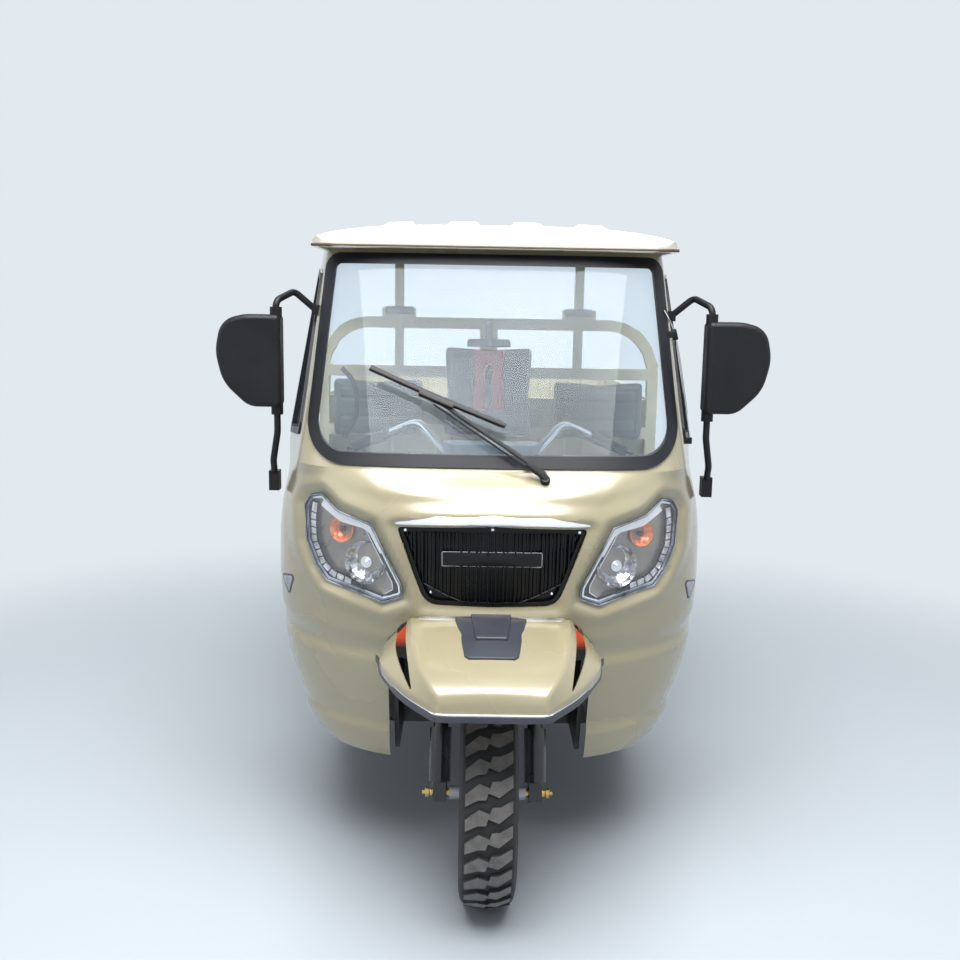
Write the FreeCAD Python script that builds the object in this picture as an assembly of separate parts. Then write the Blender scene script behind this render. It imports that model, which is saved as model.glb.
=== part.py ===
import FreeCAD, Part
import math
import os

os.makedirs("parts", exist_ok=True)
V = FreeCAD.Vector

# Every length is in millimetres. X is across, the nose points to -Y, Z is up.
# While a piece is drawn, Y counts from the front axle. It is moved to the model's origin when it is saved.

# Wheels and stance
tyre_radius = 284.0
tyre_width = 145.0
bead_radius = 156.0
rim_width = 104.0
wheelbase = 2150.0
rear_track = 1040.0
nose_overhang = 350.0
running_gap = 0.05
seat_gap = 0.3
panel_gap = 0.5

# Front body: one plan section for each height, from the sill to the roof
body_wall = 20.0
sill_z = 321.0
belt_z = 1128.0
header_z = 1690.0
flank_end_y = 640.0
# height, front of the section, half width at the corner, where the corner ends,
# half width at the rear, squareness of the corner
cowl_stations = [
    (321.0, 110.0, 470.0, 380.0, 485.0, 2.4),
    (400.0, 75.0, 520.0, 400.0, 535.0, 2.3),
    (540.0, 25.0, 575.0, 420.0, 585.0, 2.2),
    (675.0, -15.0, 598.0, 430.0, 604.0, 2.1),
    (850.0, -50.0, 604.0, 430.0, 610.0, 2.1),
    (1000.0, -62.0, 590.0, 400.0, 614.0, 2.3),
    (1082.0, -22.0, 560.0, 330.0, 615.0, 2.7),
    (1128.0, 35.0, 527.0, 230.0, 614.0, 3.3),
]
header_station = (1690.0, 337.0, 468.0, 430.0, 505.0, 3.6)
nose_steps = 90
section_points = 22

# Windscreen, as seen from the front
screen_bottom_z = 1138.0
screen_top_z = 1677.0
screen_low_half = 494.0
screen_high_half = 461.0
screen_low_radius = 105.0
screen_high_radius = 46.0
screen_seal = 30.0
seal_proud = 6.0
glass_thickness = 5.0
glass_bite = 10.0
pillar_width = 14.0

# Quarter window, as seen from the side
quarter_outline = [(236.0, 1190.0), (606.0, 1150.0), (606.0, 1642.0), (440.0, 1622.0)]
quarter_radius = 26.0
quarter_seal = 20.0

# Openings in the front body, as seen from the front: the right-hand half
grille_outline = [(0.0, 801.0), (158.0, 803.0), (192.0, 876.0), (238.0, 997.0), (0.0, 1006.0)]
grille_radius = 14.0
grille_inset = 16.0
grille_plate = 6.0
grille_bar_count = 31
grille_bar_width = 7.0
grille_bar_proud = 8.0
lamp_outline = [
    (478.0, 1046.0), (495.0, 1018.0), (490.0, 925.0), (462.0, 862.0), (430.0, 824.0),
    (276.0, 789.0), (222.0, 812.0), (224.0, 842.0), (284.0, 962.0), (302.0, 998.0),
    (392.0, 1022.0), (440.0, 1058.0),
]
lamp_radius = 14.0
lamp_lens = 6.0
lamp_depth = 70.0
lamp_shell = 5.0
arch_half = 252.0
arch_shoulder_z = 600.0
recess_tip = (286.0, 640.0)
recess_crown = (192.0, 782.0)
arch_depth_y = 220.0
strip_outline = [(250.0, 1004.0), (236.0, 1024.0), (0.0, 1032.0), (0.0, 1010.0)]
strip_proud = 6.0
surround_width = 22.0
surround_proud = 7.0

# Nose over the front wheel
nose_wall = 16.0
# distance behind the front axle, half width at the lip, lip height, side height,
# half width of the crown, crown height
nose_stations = [
    (12.0, 272.0, 652.0, 24.0, 184.0, 772.0),
    (-120.0, 268.0, 656.0, 22.0, 180.0, 758.0),
    (-250.0, 205.0, 642.0, 20.0, 160.0, 714.0),
    (-325.0, 143.0, 634.0, 18.0, 132.0, 678.0),
    (-344.0, 128.0, 632.0, 16.0, 122.0, 668.0),
]
nose_bow = 8.0
nose_strip = 6.0
nose_strip_height = 16.0
nose_trim_outline = [(-90.0, -48.0), (90.0, -48.0), (54.0, -178.0), (-54.0, -178.0)]
nose_trim_proud = 7.0

# Roof
roof_front_y = 288.0
roof_length = 1105.0
roof_half = 497.0
roof_rim = 16.0
roof_rise = 66.0
roof_slope = 66.0
roof_corner = 70.0
roof_skin = 14.0
roof_rib_count = 4
roof_rib_pitch = 174.0
roof_rib_width = 78.0
roof_rib_height = 10.0
roof_points = 48

# Steering
rake = 25.0
fork_offset = 35.0
leg_half = 125.0
leg_cover_radius = 29.0
leg_tube_radius = 20.0
stem_radius = 22.0
head_radius = 31.0
head_low = 350.0
head_high = 520.0
crown_thickness = 28.0
column_radius = 18.0
bar_station = 900.0
bar_radius = 11.0
grip_radius = 17.0
grip_length = 125.0
crown_gap = 7.0
leg_cover_low = 26.0
leg_cover_high = 165.0
clamp_width = 34.0
wheel_side_gap = 8.0
front_axle_radius = 10.0
front_axle_half = 150.0
pod_top_z = 1161.0
wheel_house_half = 252.0
wheel_house_sheet = 12.0
wheel_house_top = 650.0

# Chassis
rail_half = 370.0
rail_width = 50.0
rail_height = 80.0
rail_low_z = 350.0
rail_high_z = 520.0
rail_front_y = 430.0
rail_rise_start = 900.0
rail_rise_end = 1120.0
cross_width = 50.0
neck_front_y = 342.0
neck_half = 35.0

# Cab floor, seats and hoop
floor_thickness = 10.0
floor_half = 560.0
sill_width = 60.0
sill_height = 85.0
seat_front_y = 860.0
seat_base_z = 740.0
seat_base_half = 560.0
seat_sheet = 12.0
engine_bay_half = 400.0
engine_front_y = 930.0
engine_rear_y = 1200.0
driver_half = 180.0
driver_front_y = 800.0
driver_back_y = 1140.0
driver_cushion = 110.0
driver_back_low = 1063.0
driver_back_high = 1396.0
side_cushion = 90.0
side_back_low = 1056.0
side_back_high = 1275.0
backrest_depth = 62.0
backrest_plate = 6.0
hoop_y = 1270.0
hoop_tube = 40.0
hoop_half = 600.0
hoop_top_z = 1489.0
hoop_radius = 175.0
mid_bar_z = 1295.0
low_bar_z = 1080.0
post_half = 322.0
post_width = 32.0

# Cargo box
box_front_y = 1310.0
box_length = 1639.0
box_half = 620.0
box_top_z = 1170.0
deck_z = 680.0
deck_thickness = 25.0
bearer_height = 55.0
wall_thickness = 25.0
swage_depth = 10.0
swage_width = 70.0
swage_pitch = 160.0
wall_low_z = 620.0
top_rail = 30.0
gate_gap = 6.0
gate_half = 614.0
hinge_z = 650.0
hinge_radius = 10.0
hinge_pin_radius = 5.0
hinge_half = 30.0
hinge_place = 430.0
flap_y = 2480.0
flap_low_z = 220.0
lamp_low_z = 470.0
tow_z = 584.0
tow_plate = 16.0
tow_bore = 24.0

# Mirrors
mirror_arm_x = 584.0
mirror_y = 270.0
mirror_high_z = 1508.0
mirror_low_z = 1262.0
mirror_depth = 60.0
mirror_tube = 9.0

# Rear axle
axle_tube_radius = 38.0
stub_radius = 20.0
diff_radius = 118.0
spring_half_span = 430.0
spring_leaf = 9.0
spring_leaves = 4
spring_width = 50.0
spring_eye_drop = 40.0

# Exhaust
exhaust_x = -220.0
exhaust_drop = 66.0
exhaust_radius = 62.0
exhaust_pipe = 18.0

front_axle_z = tyre_radius
rear_axle_y = wheelbase
box_end_y = box_front_y + box_length
gate_inner_y = box_end_y + gate_gap
gate_outer_y = gate_inner_y + wall_thickness
hinge_y = gate_outer_y + hinge_radius
tail_y = hinge_y + hinge_radius
overall_length = nose_overhang + tail_y
shift_y = nose_overhang - overall_length / 2.0


def save(name, shape):
    """Moves a finished piece to the model's origin and writes it."""
    moved = shape.copy()
    moved.translate(V(0, shift_y, 0))
    if not moved.isValid():
        print("not valid:", name)
    moved.exportStep(os.path.join("parts", name + ".step"))


def block(x, y, z):
    """Box between the low and high value of each axis."""
    return Part.makeBox(x[1] - x[0], y[1] - y[0], z[1] - z[0], V(x[0], y[0], z[0]))


def mirrored(shape):
    return shape.mirror(V(0, 0, 0), V(1, 0, 0))


def both_sides(shape):
    """The shape's solids and their mirror images, kept separate."""
    return Part.makeCompound(shape.Solids + mirrored(shape).Solids)


def fused(shapes):
    whole = shapes[0].multiFuse(shapes[1:]) if len(shapes) > 1 else shapes[0]
    return whole.removeSplitter()


def rounded_edges(points, radius, closed):
    """Edges through the points, with an arc of the given radius at each corner."""
    count = len(points)
    radii = radius if isinstance(radius, list) else [radius] * count
    stops = []
    for i, here in enumerate(points):
        if not closed and i in (0, count - 1):
            stops.append((here, None, here))
            continue
        before = (points[i - 1] - here).normalize()
        after = (points[(i + 1) % count] - here).normalize()
        half = before.getAngle(after) / 2.0
        if radii[i] <= 0 or half > math.pi / 2.0 - 0.001:
            stops.append((here, None, here))
            continue
        reach = radii[i] / math.tan(half)
        inward = (before + after).normalize()
        middle = here + inward * (radii[i] / math.sin(half) - radii[i])
        stops.append((here + before * reach, middle, here + after * reach))
    edges = []
    for i, (first, middle, last) in enumerate(stops):
        if middle is not None:
            edges.append(Part.Arc(first, middle, last).toShape())
        if closed or i < count - 1:
            following = stops[(i + 1) % count][0]
            if (following - last).Length > 0.001:
                edges.append(Part.makeLine(last, following))
    return edges


def outline(points, radius=0.0):
    return Part.Wire(rounded_edges(points, radius, True))


def front_prism(points, radius, y):
    """An outline seen from the front, carried along Y."""
    wire = outline([V(a, y[0], b) for a, b in points], radius)
    return Part.Face(wire).extrude(V(0, y[1] - y[0], 0))


def side_prism(points, radius, x):
    """An outline seen from the side, carried along X."""
    wire = outline([V(x[0], a, b) for a, b in points], radius)
    return Part.Face(wire).extrude(V(x[1] - x[0], 0, 0))


def plan_prism(points, radius, z):
    """An outline seen from above, carried along Z."""
    wire = outline([V(a, b, z[0]) for a, b in points], radius)
    return Part.Face(wire).extrude(V(0, 0, z[1] - z[0]))


def tube(points, radius, bend):
    """Round bar that follows the points, with bends."""
    path = Part.Wire(rounded_edges(points, bend, False))
    ring = Part.Wire([Part.makeCircle(radius, points[0], points[1] - points[0])])
    return path.makePipeShell([ring], True, False)


def rod(start, end, radius):
    return Part.makeCylinder(radius, (end - start).Length, start, end - start)


def lofted(wires, straight):
    """Solid through closed sections, turned so that its faces look outward."""
    solid = Part.makeLoft(wires, True, straight)
    if solid.Volume < 0:
        solid.reverse()
    return solid


def section_at(z):
    """The body's plan section at a height, between the two stations beside it."""
    rows = cowl_stations + [header_station]
    if z <= rows[0][0]:
        low, high = rows[0], rows[1]
    else:
        above = [i for i, row in enumerate(rows) if row[0] >= z]
        place = above[0] if above else len(rows) - 1
        low, high = rows[place - 1], rows[place]
    share = (z - low[0]) / (high[0] - low[0])
    return [a + (b - a) * share for a, b in zip(low[1:], high[1:])]


def body_section(z, inset, rear_y):
    """Plan section of the front body: a superellipse nose on flanks that widen to the rear."""
    front, corner_half, flank_y, rear_half, square = section_at(z)
    spread = (rear_half - corner_half) / (flank_end_y - flank_y)
    depth = flank_y - front - inset
    right = []
    for i in range(nose_steps + 1):
        turn = i / nose_steps * math.pi / 2.0
        along = flank_y - depth * max(math.cos(turn), 0.0) ** (2.0 / square)
        half = corner_half - inset - spread * (flank_y - along)
        right.append(V(half * math.sin(turn) ** (2.0 / square), along, z))
    right.append(V(corner_half - inset + spread * (rear_y - flank_y), rear_y, z))
    right = evenly_spaced(right, section_points)
    left = [V(-point.x, point.y, z) for point in reversed(right[1:])]
    return left + right


def evenly_spaced(points, count):
    """The given number of steps of equal length along a line of points."""
    walked = [0.0]
    for before, after in zip(points, points[1:]):
        walked.append(walked[-1] + (after - before).Length)
    result = [points[0]]
    place = 1
    for i in range(1, count):
        target = walked[-1] * i / count
        while walked[place] < target:
            place += 1
        share = (target - walked[place - 1]) / (walked[place] - walked[place - 1])
        result.append(points[place - 1] + (points[place] - points[place - 1]) * share)
    return result + [points[-1]]


def filled_surface(rows):
    """Solid between a smooth surface through rows of points and the plane across its open rear."""
    surface = Part.BSplineSurface()
    surface.interpolate(rows)
    skin_face = surface.toShape()
    level = [e for e in skin_face.Edges if e.BoundBox.ZLength < 0.01]
    upright = [e for e in skin_face.Edges if e.BoundBox.ZLength >= 0.01]
    chords = []
    faces = [skin_face]
    for edge in level:
        first, last = edge.Vertexes[0].Point, edge.Vertexes[-1].Point
        chord = Part.makeLine(last, first)
        chords.append(chord)
        faces.append(Part.Face(Part.Wire([edge, chord])))
    rear = Part.Wire(Part.__sortEdges__(upright + chords))
    faces.append(Part.Face(rear))
    solid = Part.Solid(Part.Shell(faces))
    if solid.Volume < 0:
        solid.reverse()
    return solid


def cowl_volume(inset, rear_y, low_z, high_z):
    """Space inside the lower front body, set in from its skin."""
    heights = [low_z] + [row[0] for row in cowl_stations if low_z + 5.0 < row[0] < high_z - 5.0] + [high_z]
    return filled_surface([body_section(z, inset, rear_y) for z in heights])


def screen_volume(inset, rear_y, low_z, high_z):
    """Space inside the raked upper body, set in from its skin."""
    heights = [low_z + (high_z - low_z) * i / 3.0 for i in range(4)]
    return filled_surface([body_section(z, inset, rear_y) for z in heights])


def screen_outline(grow):
    low, high = screen_bottom_z - grow, screen_top_z + grow
    return [
        (-screen_low_half - grow, low),
        (screen_low_half + grow, low),
        (screen_high_half + grow, high),
        (-screen_high_half - grow, high),
    ]


def screen_prism(grow):
    """Windscreen outline carried through the front body, as far back as the pillar before the quarter window."""
    radii = [screen_low_radius + grow] * 2 + [screen_high_radius + grow] * 2
    through = front_prism(screen_outline(grow), radii, (-50.0, 560.0))
    (low_y, low_z), (high_y, high_z) = quarter_outline[0], quarter_outline[-1]
    lean = (high_y - low_y) / (high_z - low_z)
    ends = (belt_z - 50.0, header_z + 50.0)
    pillar = [(low_y - pillar_width + grow + lean * (z - low_z), z) for z in ends]
    side = [(-60.0, ends[0])] + pillar + [(-60.0, ends[1])]
    return through.common(side_prism(side, 0.0, (-roof_half - 100.0, roof_half + 100.0)))


def quarter_prism(grow):
    """Quarter window outline carried through both flanks."""
    return side_prism(grown(quarter_outline, grow), quarter_radius + grow, (-700.0, 700.0))


def face_outline(right_half):
    """A front-view outline from its right-hand half, whose ends lie on the middle."""
    left_half = [(-x, z) for x, z in reversed(right_half) if x > 0]
    return [p for p in right_half if p[0] > 0] + left_half


def grown(points, amount):
    """Outline pushed outward by an amount along each corner."""
    count = len(points)
    area = sum(points[i - 1][0] * points[i][1] - points[i][0] * points[i - 1][1] for i in range(count))
    turn = 1.0 if area > 0 else -1.0
    result = []
    for i, (a, b) in enumerate(points):
        before, after = points[i - 1], points[(i + 1) % count]
        first = V(a - before[0], b - before[1], 0).normalize()
        second = V(after[0] - a, after[1] - b, 0).normalize()
        out_first = V(first.y, -first.x, 0) * turn
        out_second = V(second.y, -second.x, 0) * turn
        push = (out_first + out_second) * (amount / (1.0 + out_first.dot(out_second)))
        result.append((a + push.x, b + push.y))
    return result


def skin(outside, inside, low_z=sill_z, high_z=belt_z):
    """Layer of the lower front body between two depths below its surface."""
    outer = cowl_volume(outside, flank_end_y, low_z, high_z)
    return outer.cut(cowl_volume(inside, flank_end_y + 50.0, low_z - 1.0, high_z + 1.0))


def arch_outline(grow):
    """Wheel arch and nose recess, as seen from the front."""
    right = [
        (arch_half + grow, sill_z - 30.0),
        (arch_half + grow, arch_shoulder_z),
        (recess_tip[0] + grow, recess_tip[1]),
        (recess_crown[0] + grow, recess_crown[1] + grow),
    ]
    return right + [(-x, z) for x, z in reversed(right)]


def front_opening(points, grow, radius, y=(-200.0, 320.0)):
    return front_prism(grown(points, grow), radius, y)


def front_cowl():
    """Lower front panel with its leg shields, arch, lamp openings and raised surround."""
    panel = skin(0.0, body_wall)
    grille = face_outline(grille_outline)
    raised = skin(-surround_proud, body_wall / 2.0, grille_outline[0][1] - 60.0, grille_outline[3][1] + 45.0)
    ring = front_opening(grille, surround_width, grille_radius, (-200.0, 120.0))
    panel = panel.fuse(raised.common(ring))
    panel = panel.cut(front_opening(grille, 0.0, grille_radius))
    lamp = front_opening(lamp_outline, 0.0, lamp_radius)
    panel = panel.cut(lamp).cut(mirrored(lamp))
    panel = panel.cut(front_prism(arch_outline(0.0), 12.0, (-200.0, arch_depth_y)))
    save("front_cowl", panel)


def cab_pillars():
    """Upper front body: scuttle, pillars and header, with the windscreen and quarter windows cut."""
    outer = screen_volume(0.0, flank_end_y, belt_z, header_z)
    inner = screen_volume(body_wall, flank_end_y + 50.0, belt_z - 1.0, header_z + 1.0)
    frame = outer.cut(inner).cut(screen_prism(0.0)).cut(quarter_prism(0.0))
    save("cab_pillars", frame)


def screen_layer(outside, inside):
    outer = screen_volume(outside, flank_end_y, belt_z, header_z)
    return outer.cut(screen_volume(inside, flank_end_y + 50.0, belt_z - 1.0, header_z + 1.0))


def windscreen():
    glass_depth = body_wall / 2.0 - glass_thickness / 2.0
    sheet = screen_layer(glass_depth, glass_depth + glass_thickness)
    glass = sheet.common(screen_prism(glass_bite - screen_seal))
    save("windscreen_glass", glass)
    rubber = screen_layer(-seal_proud, body_wall)
    ring = rubber.common(screen_prism(0.0)).cut(screen_prism(-screen_seal))
    save("windscreen_seal", ring.cut(glass))


def quarter_windows():
    glass_depth = body_wall / 2.0 - glass_thickness / 2.0
    sheet = screen_layer(glass_depth, glass_depth + glass_thickness)
    glass = sheet.common(quarter_prism(glass_bite - quarter_seal))
    rubber = screen_layer(-seal_proud, body_wall)
    ring = rubber.common(quarter_prism(0.0)).cut(quarter_prism(-quarter_seal)).cut(glass)
    save("quarter_glass", glass)
    save("quarter_seals", ring)


def grille():
    outline_points = face_outline(grille_outline)
    plate = skin(grille_inset, grille_inset + grille_plate, grille_outline[0][1] - 20.0, grille_outline[4][1] + 20.0)
    fit = front_opening(outline_points, 0.0, grille_radius)
    panel = plate.common(fit)
    bars = skin(grille_inset - grille_bar_proud, grille_inset + 1.0, grille_outline[0][1] - 20.0, grille_outline[4][1] + 20.0)
    pitch = 2.0 * grille_outline[3][0] / grille_bar_count
    strips = []
    for i in range(grille_bar_count):
        middle = (i - (grille_bar_count - 1) / 2.0) * pitch
        edge = grille_bar_width / 2.0
        strips.append(block((middle - edge, middle + edge), (-200.0, 120.0), (700.0, 1100.0)))
    comb = Part.makeCompound(strips)
    panel = panel.fuse(bars.common(fit).common(comb))
    rim = bars.common(fit).cut(front_opening(outline_points, -12.0, 8.0))
    save("grille", fused([panel, rim]))


def chrome_strip():
    points = face_outline(strip_outline)
    layer = skin(-surround_proud - strip_proud, 0.0, 960.0, 1100.0)
    strip = layer.common(front_prism(points, 4.0, (-200.0, 120.0)))
    raised = skin(-surround_proud, 0.0, 960.0, 1100.0)
    ring = raised.common(front_opening(face_outline(grille_outline), surround_width, grille_radius, (-200.0, 120.0)))
    save("grille_strip", strip.cut(ring))


def headlamps():
    """One node for each side: a bucket behind the opening and a clear lens that closes it."""
    low, high = lamp_outline[5][1] - 30.0, lamp_outline[11][1] + 30.0
    fit = front_opening(lamp_outline, 0.0, lamp_radius)
    lens = skin(0.0, lamp_lens, low, high).common(fit)
    shell = skin(lamp_lens, lamp_depth, low, high).common(fit)
    hollow = skin(lamp_lens - 1.0, lamp_depth - lamp_shell, low, high)
    shell = shell.cut(hollow.common(front_opening(lamp_outline, -lamp_shell, lamp_radius - lamp_shell)))
    save("headlamp_lenses", both_sides(lens))
    save("headlamp_bodies", both_sides(shell))


def nose_section(station, inset, drop, lengthen):
    """Cross section of the nose: lip, upright side, sloping flank and bowed crown."""
    y, lip_half, lip_z, side, crown_half, crown_z = station
    y += lengthen
    low, shoulder, top = lip_z - drop, lip_z + side - inset / 2.0, crown_z - inset
    wide, narrow = lip_half - inset, crown_half - inset / 2.0
    a, b, c = V(-narrow, y, top), V(0, y, top + nose_bow), V(narrow, y, top)
    d, e = V(wide, y, shoulder), V(wide, y, low)
    f, g = V(-wide, y, low), V(-wide, y, shoulder)
    edges = [Part.Arc(a, b, c).toShape()]
    for start, end in ((c, d), (d, e), (e, f), (f, g), (g, a)):
        edges.append(Part.makeLine(start, end))
    return Part.Wire(edges)


def nose_volume(inset, drop=0.0):
    """Space under the nose, set in from its skin, and let down below its lip."""
    last = len(nose_stations) - 1
    wires = []
    for i, station in enumerate(nose_stations):
        lengthen = inset if i == last else (60.0 if i == 0 and inset > 0 else 0.0)
        wires.append(nose_section(station, inset, drop, lengthen))
    return lofted(wires, True)


def nose():
    shell = nose_volume(0.0).cut(nose_volume(nose_wall, nose_wall + 20.0))
    band = nose_volume(-nose_strip).cut(nose_volume(0.0, nose_strip * 2.0))
    lip = []
    for y, half, z, side, crown, top in nose_stations[1:]:
        lip.append((y, z - nose_strip * 2.0))
    front = nose_stations[-1]
    top_line = [(y, z + nose_strip_height) for y, half, z, side, crown, top in reversed(nose_stations[1:])]
    lip.append((front[0] - 40.0, front[2] - nose_strip * 2.0))
    lip.append((front[0] - 40.0, front[2] + nose_strip_height))
    band = band.common(side_prism(lip + top_line, 0.0, (-320.0, 320.0)))
    cover = nose_volume(-nose_trim_proud).cut(nose_volume(0.0, 40.0))
    trim = cover.common(plan_prism(nose_trim_outline, 10.0, (690.0, 820.0)))
    save("nose_fender", shell)
    save("nose_trim", Part.makeCompound([band, trim]))


def roof_arch(x):
    """Height of the plain crowned roof across its width."""
    return header_z + roof_rim + (roof_rise - roof_rim) * (1.0 - abs(x / roof_half) ** 3.2) ** (1.0 / 1.6)


def roof_rib(x):
    """How far the roof stands up at a place across its width for its raised ribs."""
    rib = 0.0
    for i in range(roof_rib_count):
        middle = (i - (roof_rib_count - 1) / 2.0) * roof_rib_pitch
        reach = abs(x - middle) / (roof_rib_width / 2.0)
        flank = min(max((1.12 - reach) / 0.24, 0.0), 1.0)
        rib = max(rib, flank * flank * (3.0 - 2.0 * flank))
    return rib * roof_rib_height


def roof_profile(half, drop, low_z, y):
    """Cross section of the roof: ribbed where it is the outer skin, plain where it is set in."""
    count = roof_points if drop > 0 else 2 * roof_points
    points = []
    for i in range(count + 1):
        x = half - 2.0 * half * i / count
        rib = roof_rib(x) if drop == 0 else 0.0
        points.append(V(x, y, roof_arch(x) + rib - drop))
    curve = Part.BSplineCurve()
    curve.interpolate(points)
    corner_left = V(-half, y, low_z)
    corner_right = V(half, y, low_z)
    return Part.Wire([
        curve.toShape(),
        Part.makeLine(points[-1], corner_left),
        Part.makeLine(corner_left, corner_right),
        Part.makeLine(corner_right, points[0]),
    ])


def roof_block(inset, drop, low_z):
    """Roof form: crowned across, sloped at both ends and rounded in plan."""
    rear_y = roof_front_y + roof_length
    half = roof_half - inset
    front = roof_front_y + inset
    back = rear_y - inset
    run = Part.Face(roof_profile(half, drop, low_z, roof_front_y - 10.0)).extrude(V(0, roof_length + 20.0, 0))
    top = header_z + roof_rise + roof_rib_height + 5.0 - drop
    rim = header_z + roof_rim - drop
    side = [
        (front, low_z), (back, low_z), (back, rim), (back - roof_slope, top),
        (front + roof_slope * 1.6, top), (front, rim - 4.0),
    ]
    form = run.common(side_prism(side, 0.0, (-roof_half - 20.0, roof_half + 20.0)))
    corners = [(-half, front), (half, front), (half, back), (-half, back)]
    return form.common(plan_prism(corners, roof_corner - inset, (low_z - 1.0, top + 20.0)))


def roof():
    outer = roof_block(0.0, 0.0, header_z)
    inner = roof_block(roof_skin, roof_skin, header_z - 10.0)
    save("roof_panel", outer.cut(inner))


def raked(shape):
    """Leans a piece drawn upright over the front axle back to the steering axis."""
    leaned = shape.copy()
    leaned.rotate(V(0, 0, front_axle_z), V(1, 0, 0), -rake)
    return leaned


def up_axis(s):
    """Height of a place along the upright steering axis."""
    return front_axle_z + s


def steering_point(s):
    lean = math.radians(rake)
    y = fork_offset * math.cos(lean) + s * math.sin(lean)
    z = front_axle_z - fork_offset * math.sin(lean) + s * math.cos(lean)
    return V(0, y, z)


def fork():
    crown_top = head_low - crown_gap
    crown_low = crown_top - crown_thickness
    legs = rod(V(leg_half, 0, up_axis(-12.0)), V(leg_half, 0, up_axis(crown_top)), leg_tube_radius)
    cover = rod(V(leg_half, 0, up_axis(leg_cover_low)), V(leg_half, 0, up_axis(leg_cover_high)), leg_cover_radius)
    half = clamp_width / 2.0
    clamp = block((leg_half - half, leg_half + half), (-26.0, 26.0), (up_axis(-24.0), up_axis(24.0)))
    reach = leg_half + leg_cover_radius
    crown_plan = [(-reach, -28.0), (reach, -28.0), (reach, 24.0), (52.0, 68.0), (-52.0, 68.0), (-reach, 24.0)]
    crown = plan_prism(crown_plan, 14.0, (up_axis(crown_low), up_axis(crown_top)))
    stem = rod(V(0, fork_offset, up_axis(crown_low)), V(0, fork_offset, up_axis(head_high + 40.0)), stem_radius)
    collar = rod(V(0, fork_offset, up_axis(head_high + crown_gap)), V(0, fork_offset, up_axis(head_high + 40.0)), head_radius)
    column = rod(V(0, fork_offset, up_axis(head_high + 30.0)), V(0, fork_offset, up_axis(bar_station)), column_radius)
    bore = rod(V(-300, 0, up_axis(0)), V(300, 0, up_axis(0)), front_axle_radius)
    sides = [legs, mirrored(legs), cover, mirrored(cover), clamp, mirrored(clamp)]
    whole = fused([crown, stem, collar, column] + sides).cut(bore)
    save("front_fork", raked(whole))
    axle = rod(V(-front_axle_half, 0, up_axis(0)), V(front_axle_half, 0, up_axis(0)), front_axle_radius)
    save("front_axle", raked(axle))


def raked_column(gap):
    """Space that the steering column takes above the head, grown by a gap."""
    low, high = V(0, fork_offset, up_axis(head_high)), V(0, fork_offset, up_axis(bar_station))
    return raked(rod(low, high, column_radius + gap))


def handlebar():
    centre = steering_point(bar_station)
    right = [
        V(40, centre.y, centre.z),
        V(100, centre.y + 10.0, centre.z + 8.0),
        V(215, centre.y + 130.0, centre.z + 112.0),
        V(290, centre.y + 175.0, centre.z + 76.0),
        V(413, centre.y + 215.0, centre.z + 20.0),
    ]
    left = [V(-p.x, p.y, p.z) for p in reversed(right)]
    bends = [0, 40, 60, 50, 60]
    bar = tube(left + right, bar_radius, bends + bends[::-1])
    clamp = block((-34.0, 34.0), (centre.y - 24.0, centre.y + 24.0), (centre.z - 22.0, centre.z + 22.0))
    save("handlebar", fused([bar, clamp]).cut(raked_column(0.0)))
    inner, outer = right[-2], right[-1]
    along = (outer - inner).normalize()
    grip = rod(outer - along * grip_length, outer + along * 4.0, grip_radius)
    grip = grip.cut(rod(inner, outer, bar_radius + seat_gap))
    save("grips", both_sides(grip))


def instrument_pod():
    centre = steering_point(bar_station)
    front, back = centre.y - 118.0, centre.y - 24.0
    plan = [(-147.0, back), (147.0, back), (110.0, front), (-110.0, front)]
    pod = plan_prism(plan, 24.0, (centre.z - 20.0, pod_top_z))
    save("instrument_pod", pod.cut(raked_column(seat_gap)))


def tyre():
    half = tyre_width / 2.0
    wall = bead_radius + (tyre_radius - bead_radius) * 0.52
    edge, tread = half - 15.0, tyre_radius - 8.0
    right = [(edge, tread), (half - 5.0, tyre_radius - 26.0), (half, wall), (rim_width / 2.0 - 8.0, bead_radius)]
    points = [V(a, 0, b) for a, b in right] + [V(-a, 0, b) for a, b in reversed(right)]
    sides = rounded_edges(points, [0, 12.0, 40.0, 4.0, 4.0, 40.0, 12.0, 0], False)
    crown = Part.Arc(points[-1], V(0, 0, tyre_radius), points[0]).toShape()
    return Part.Face(Part.Wire(sides + [crown])).revolve(V(0, 0, 0), V(1, 0, 0), 360)


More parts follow.
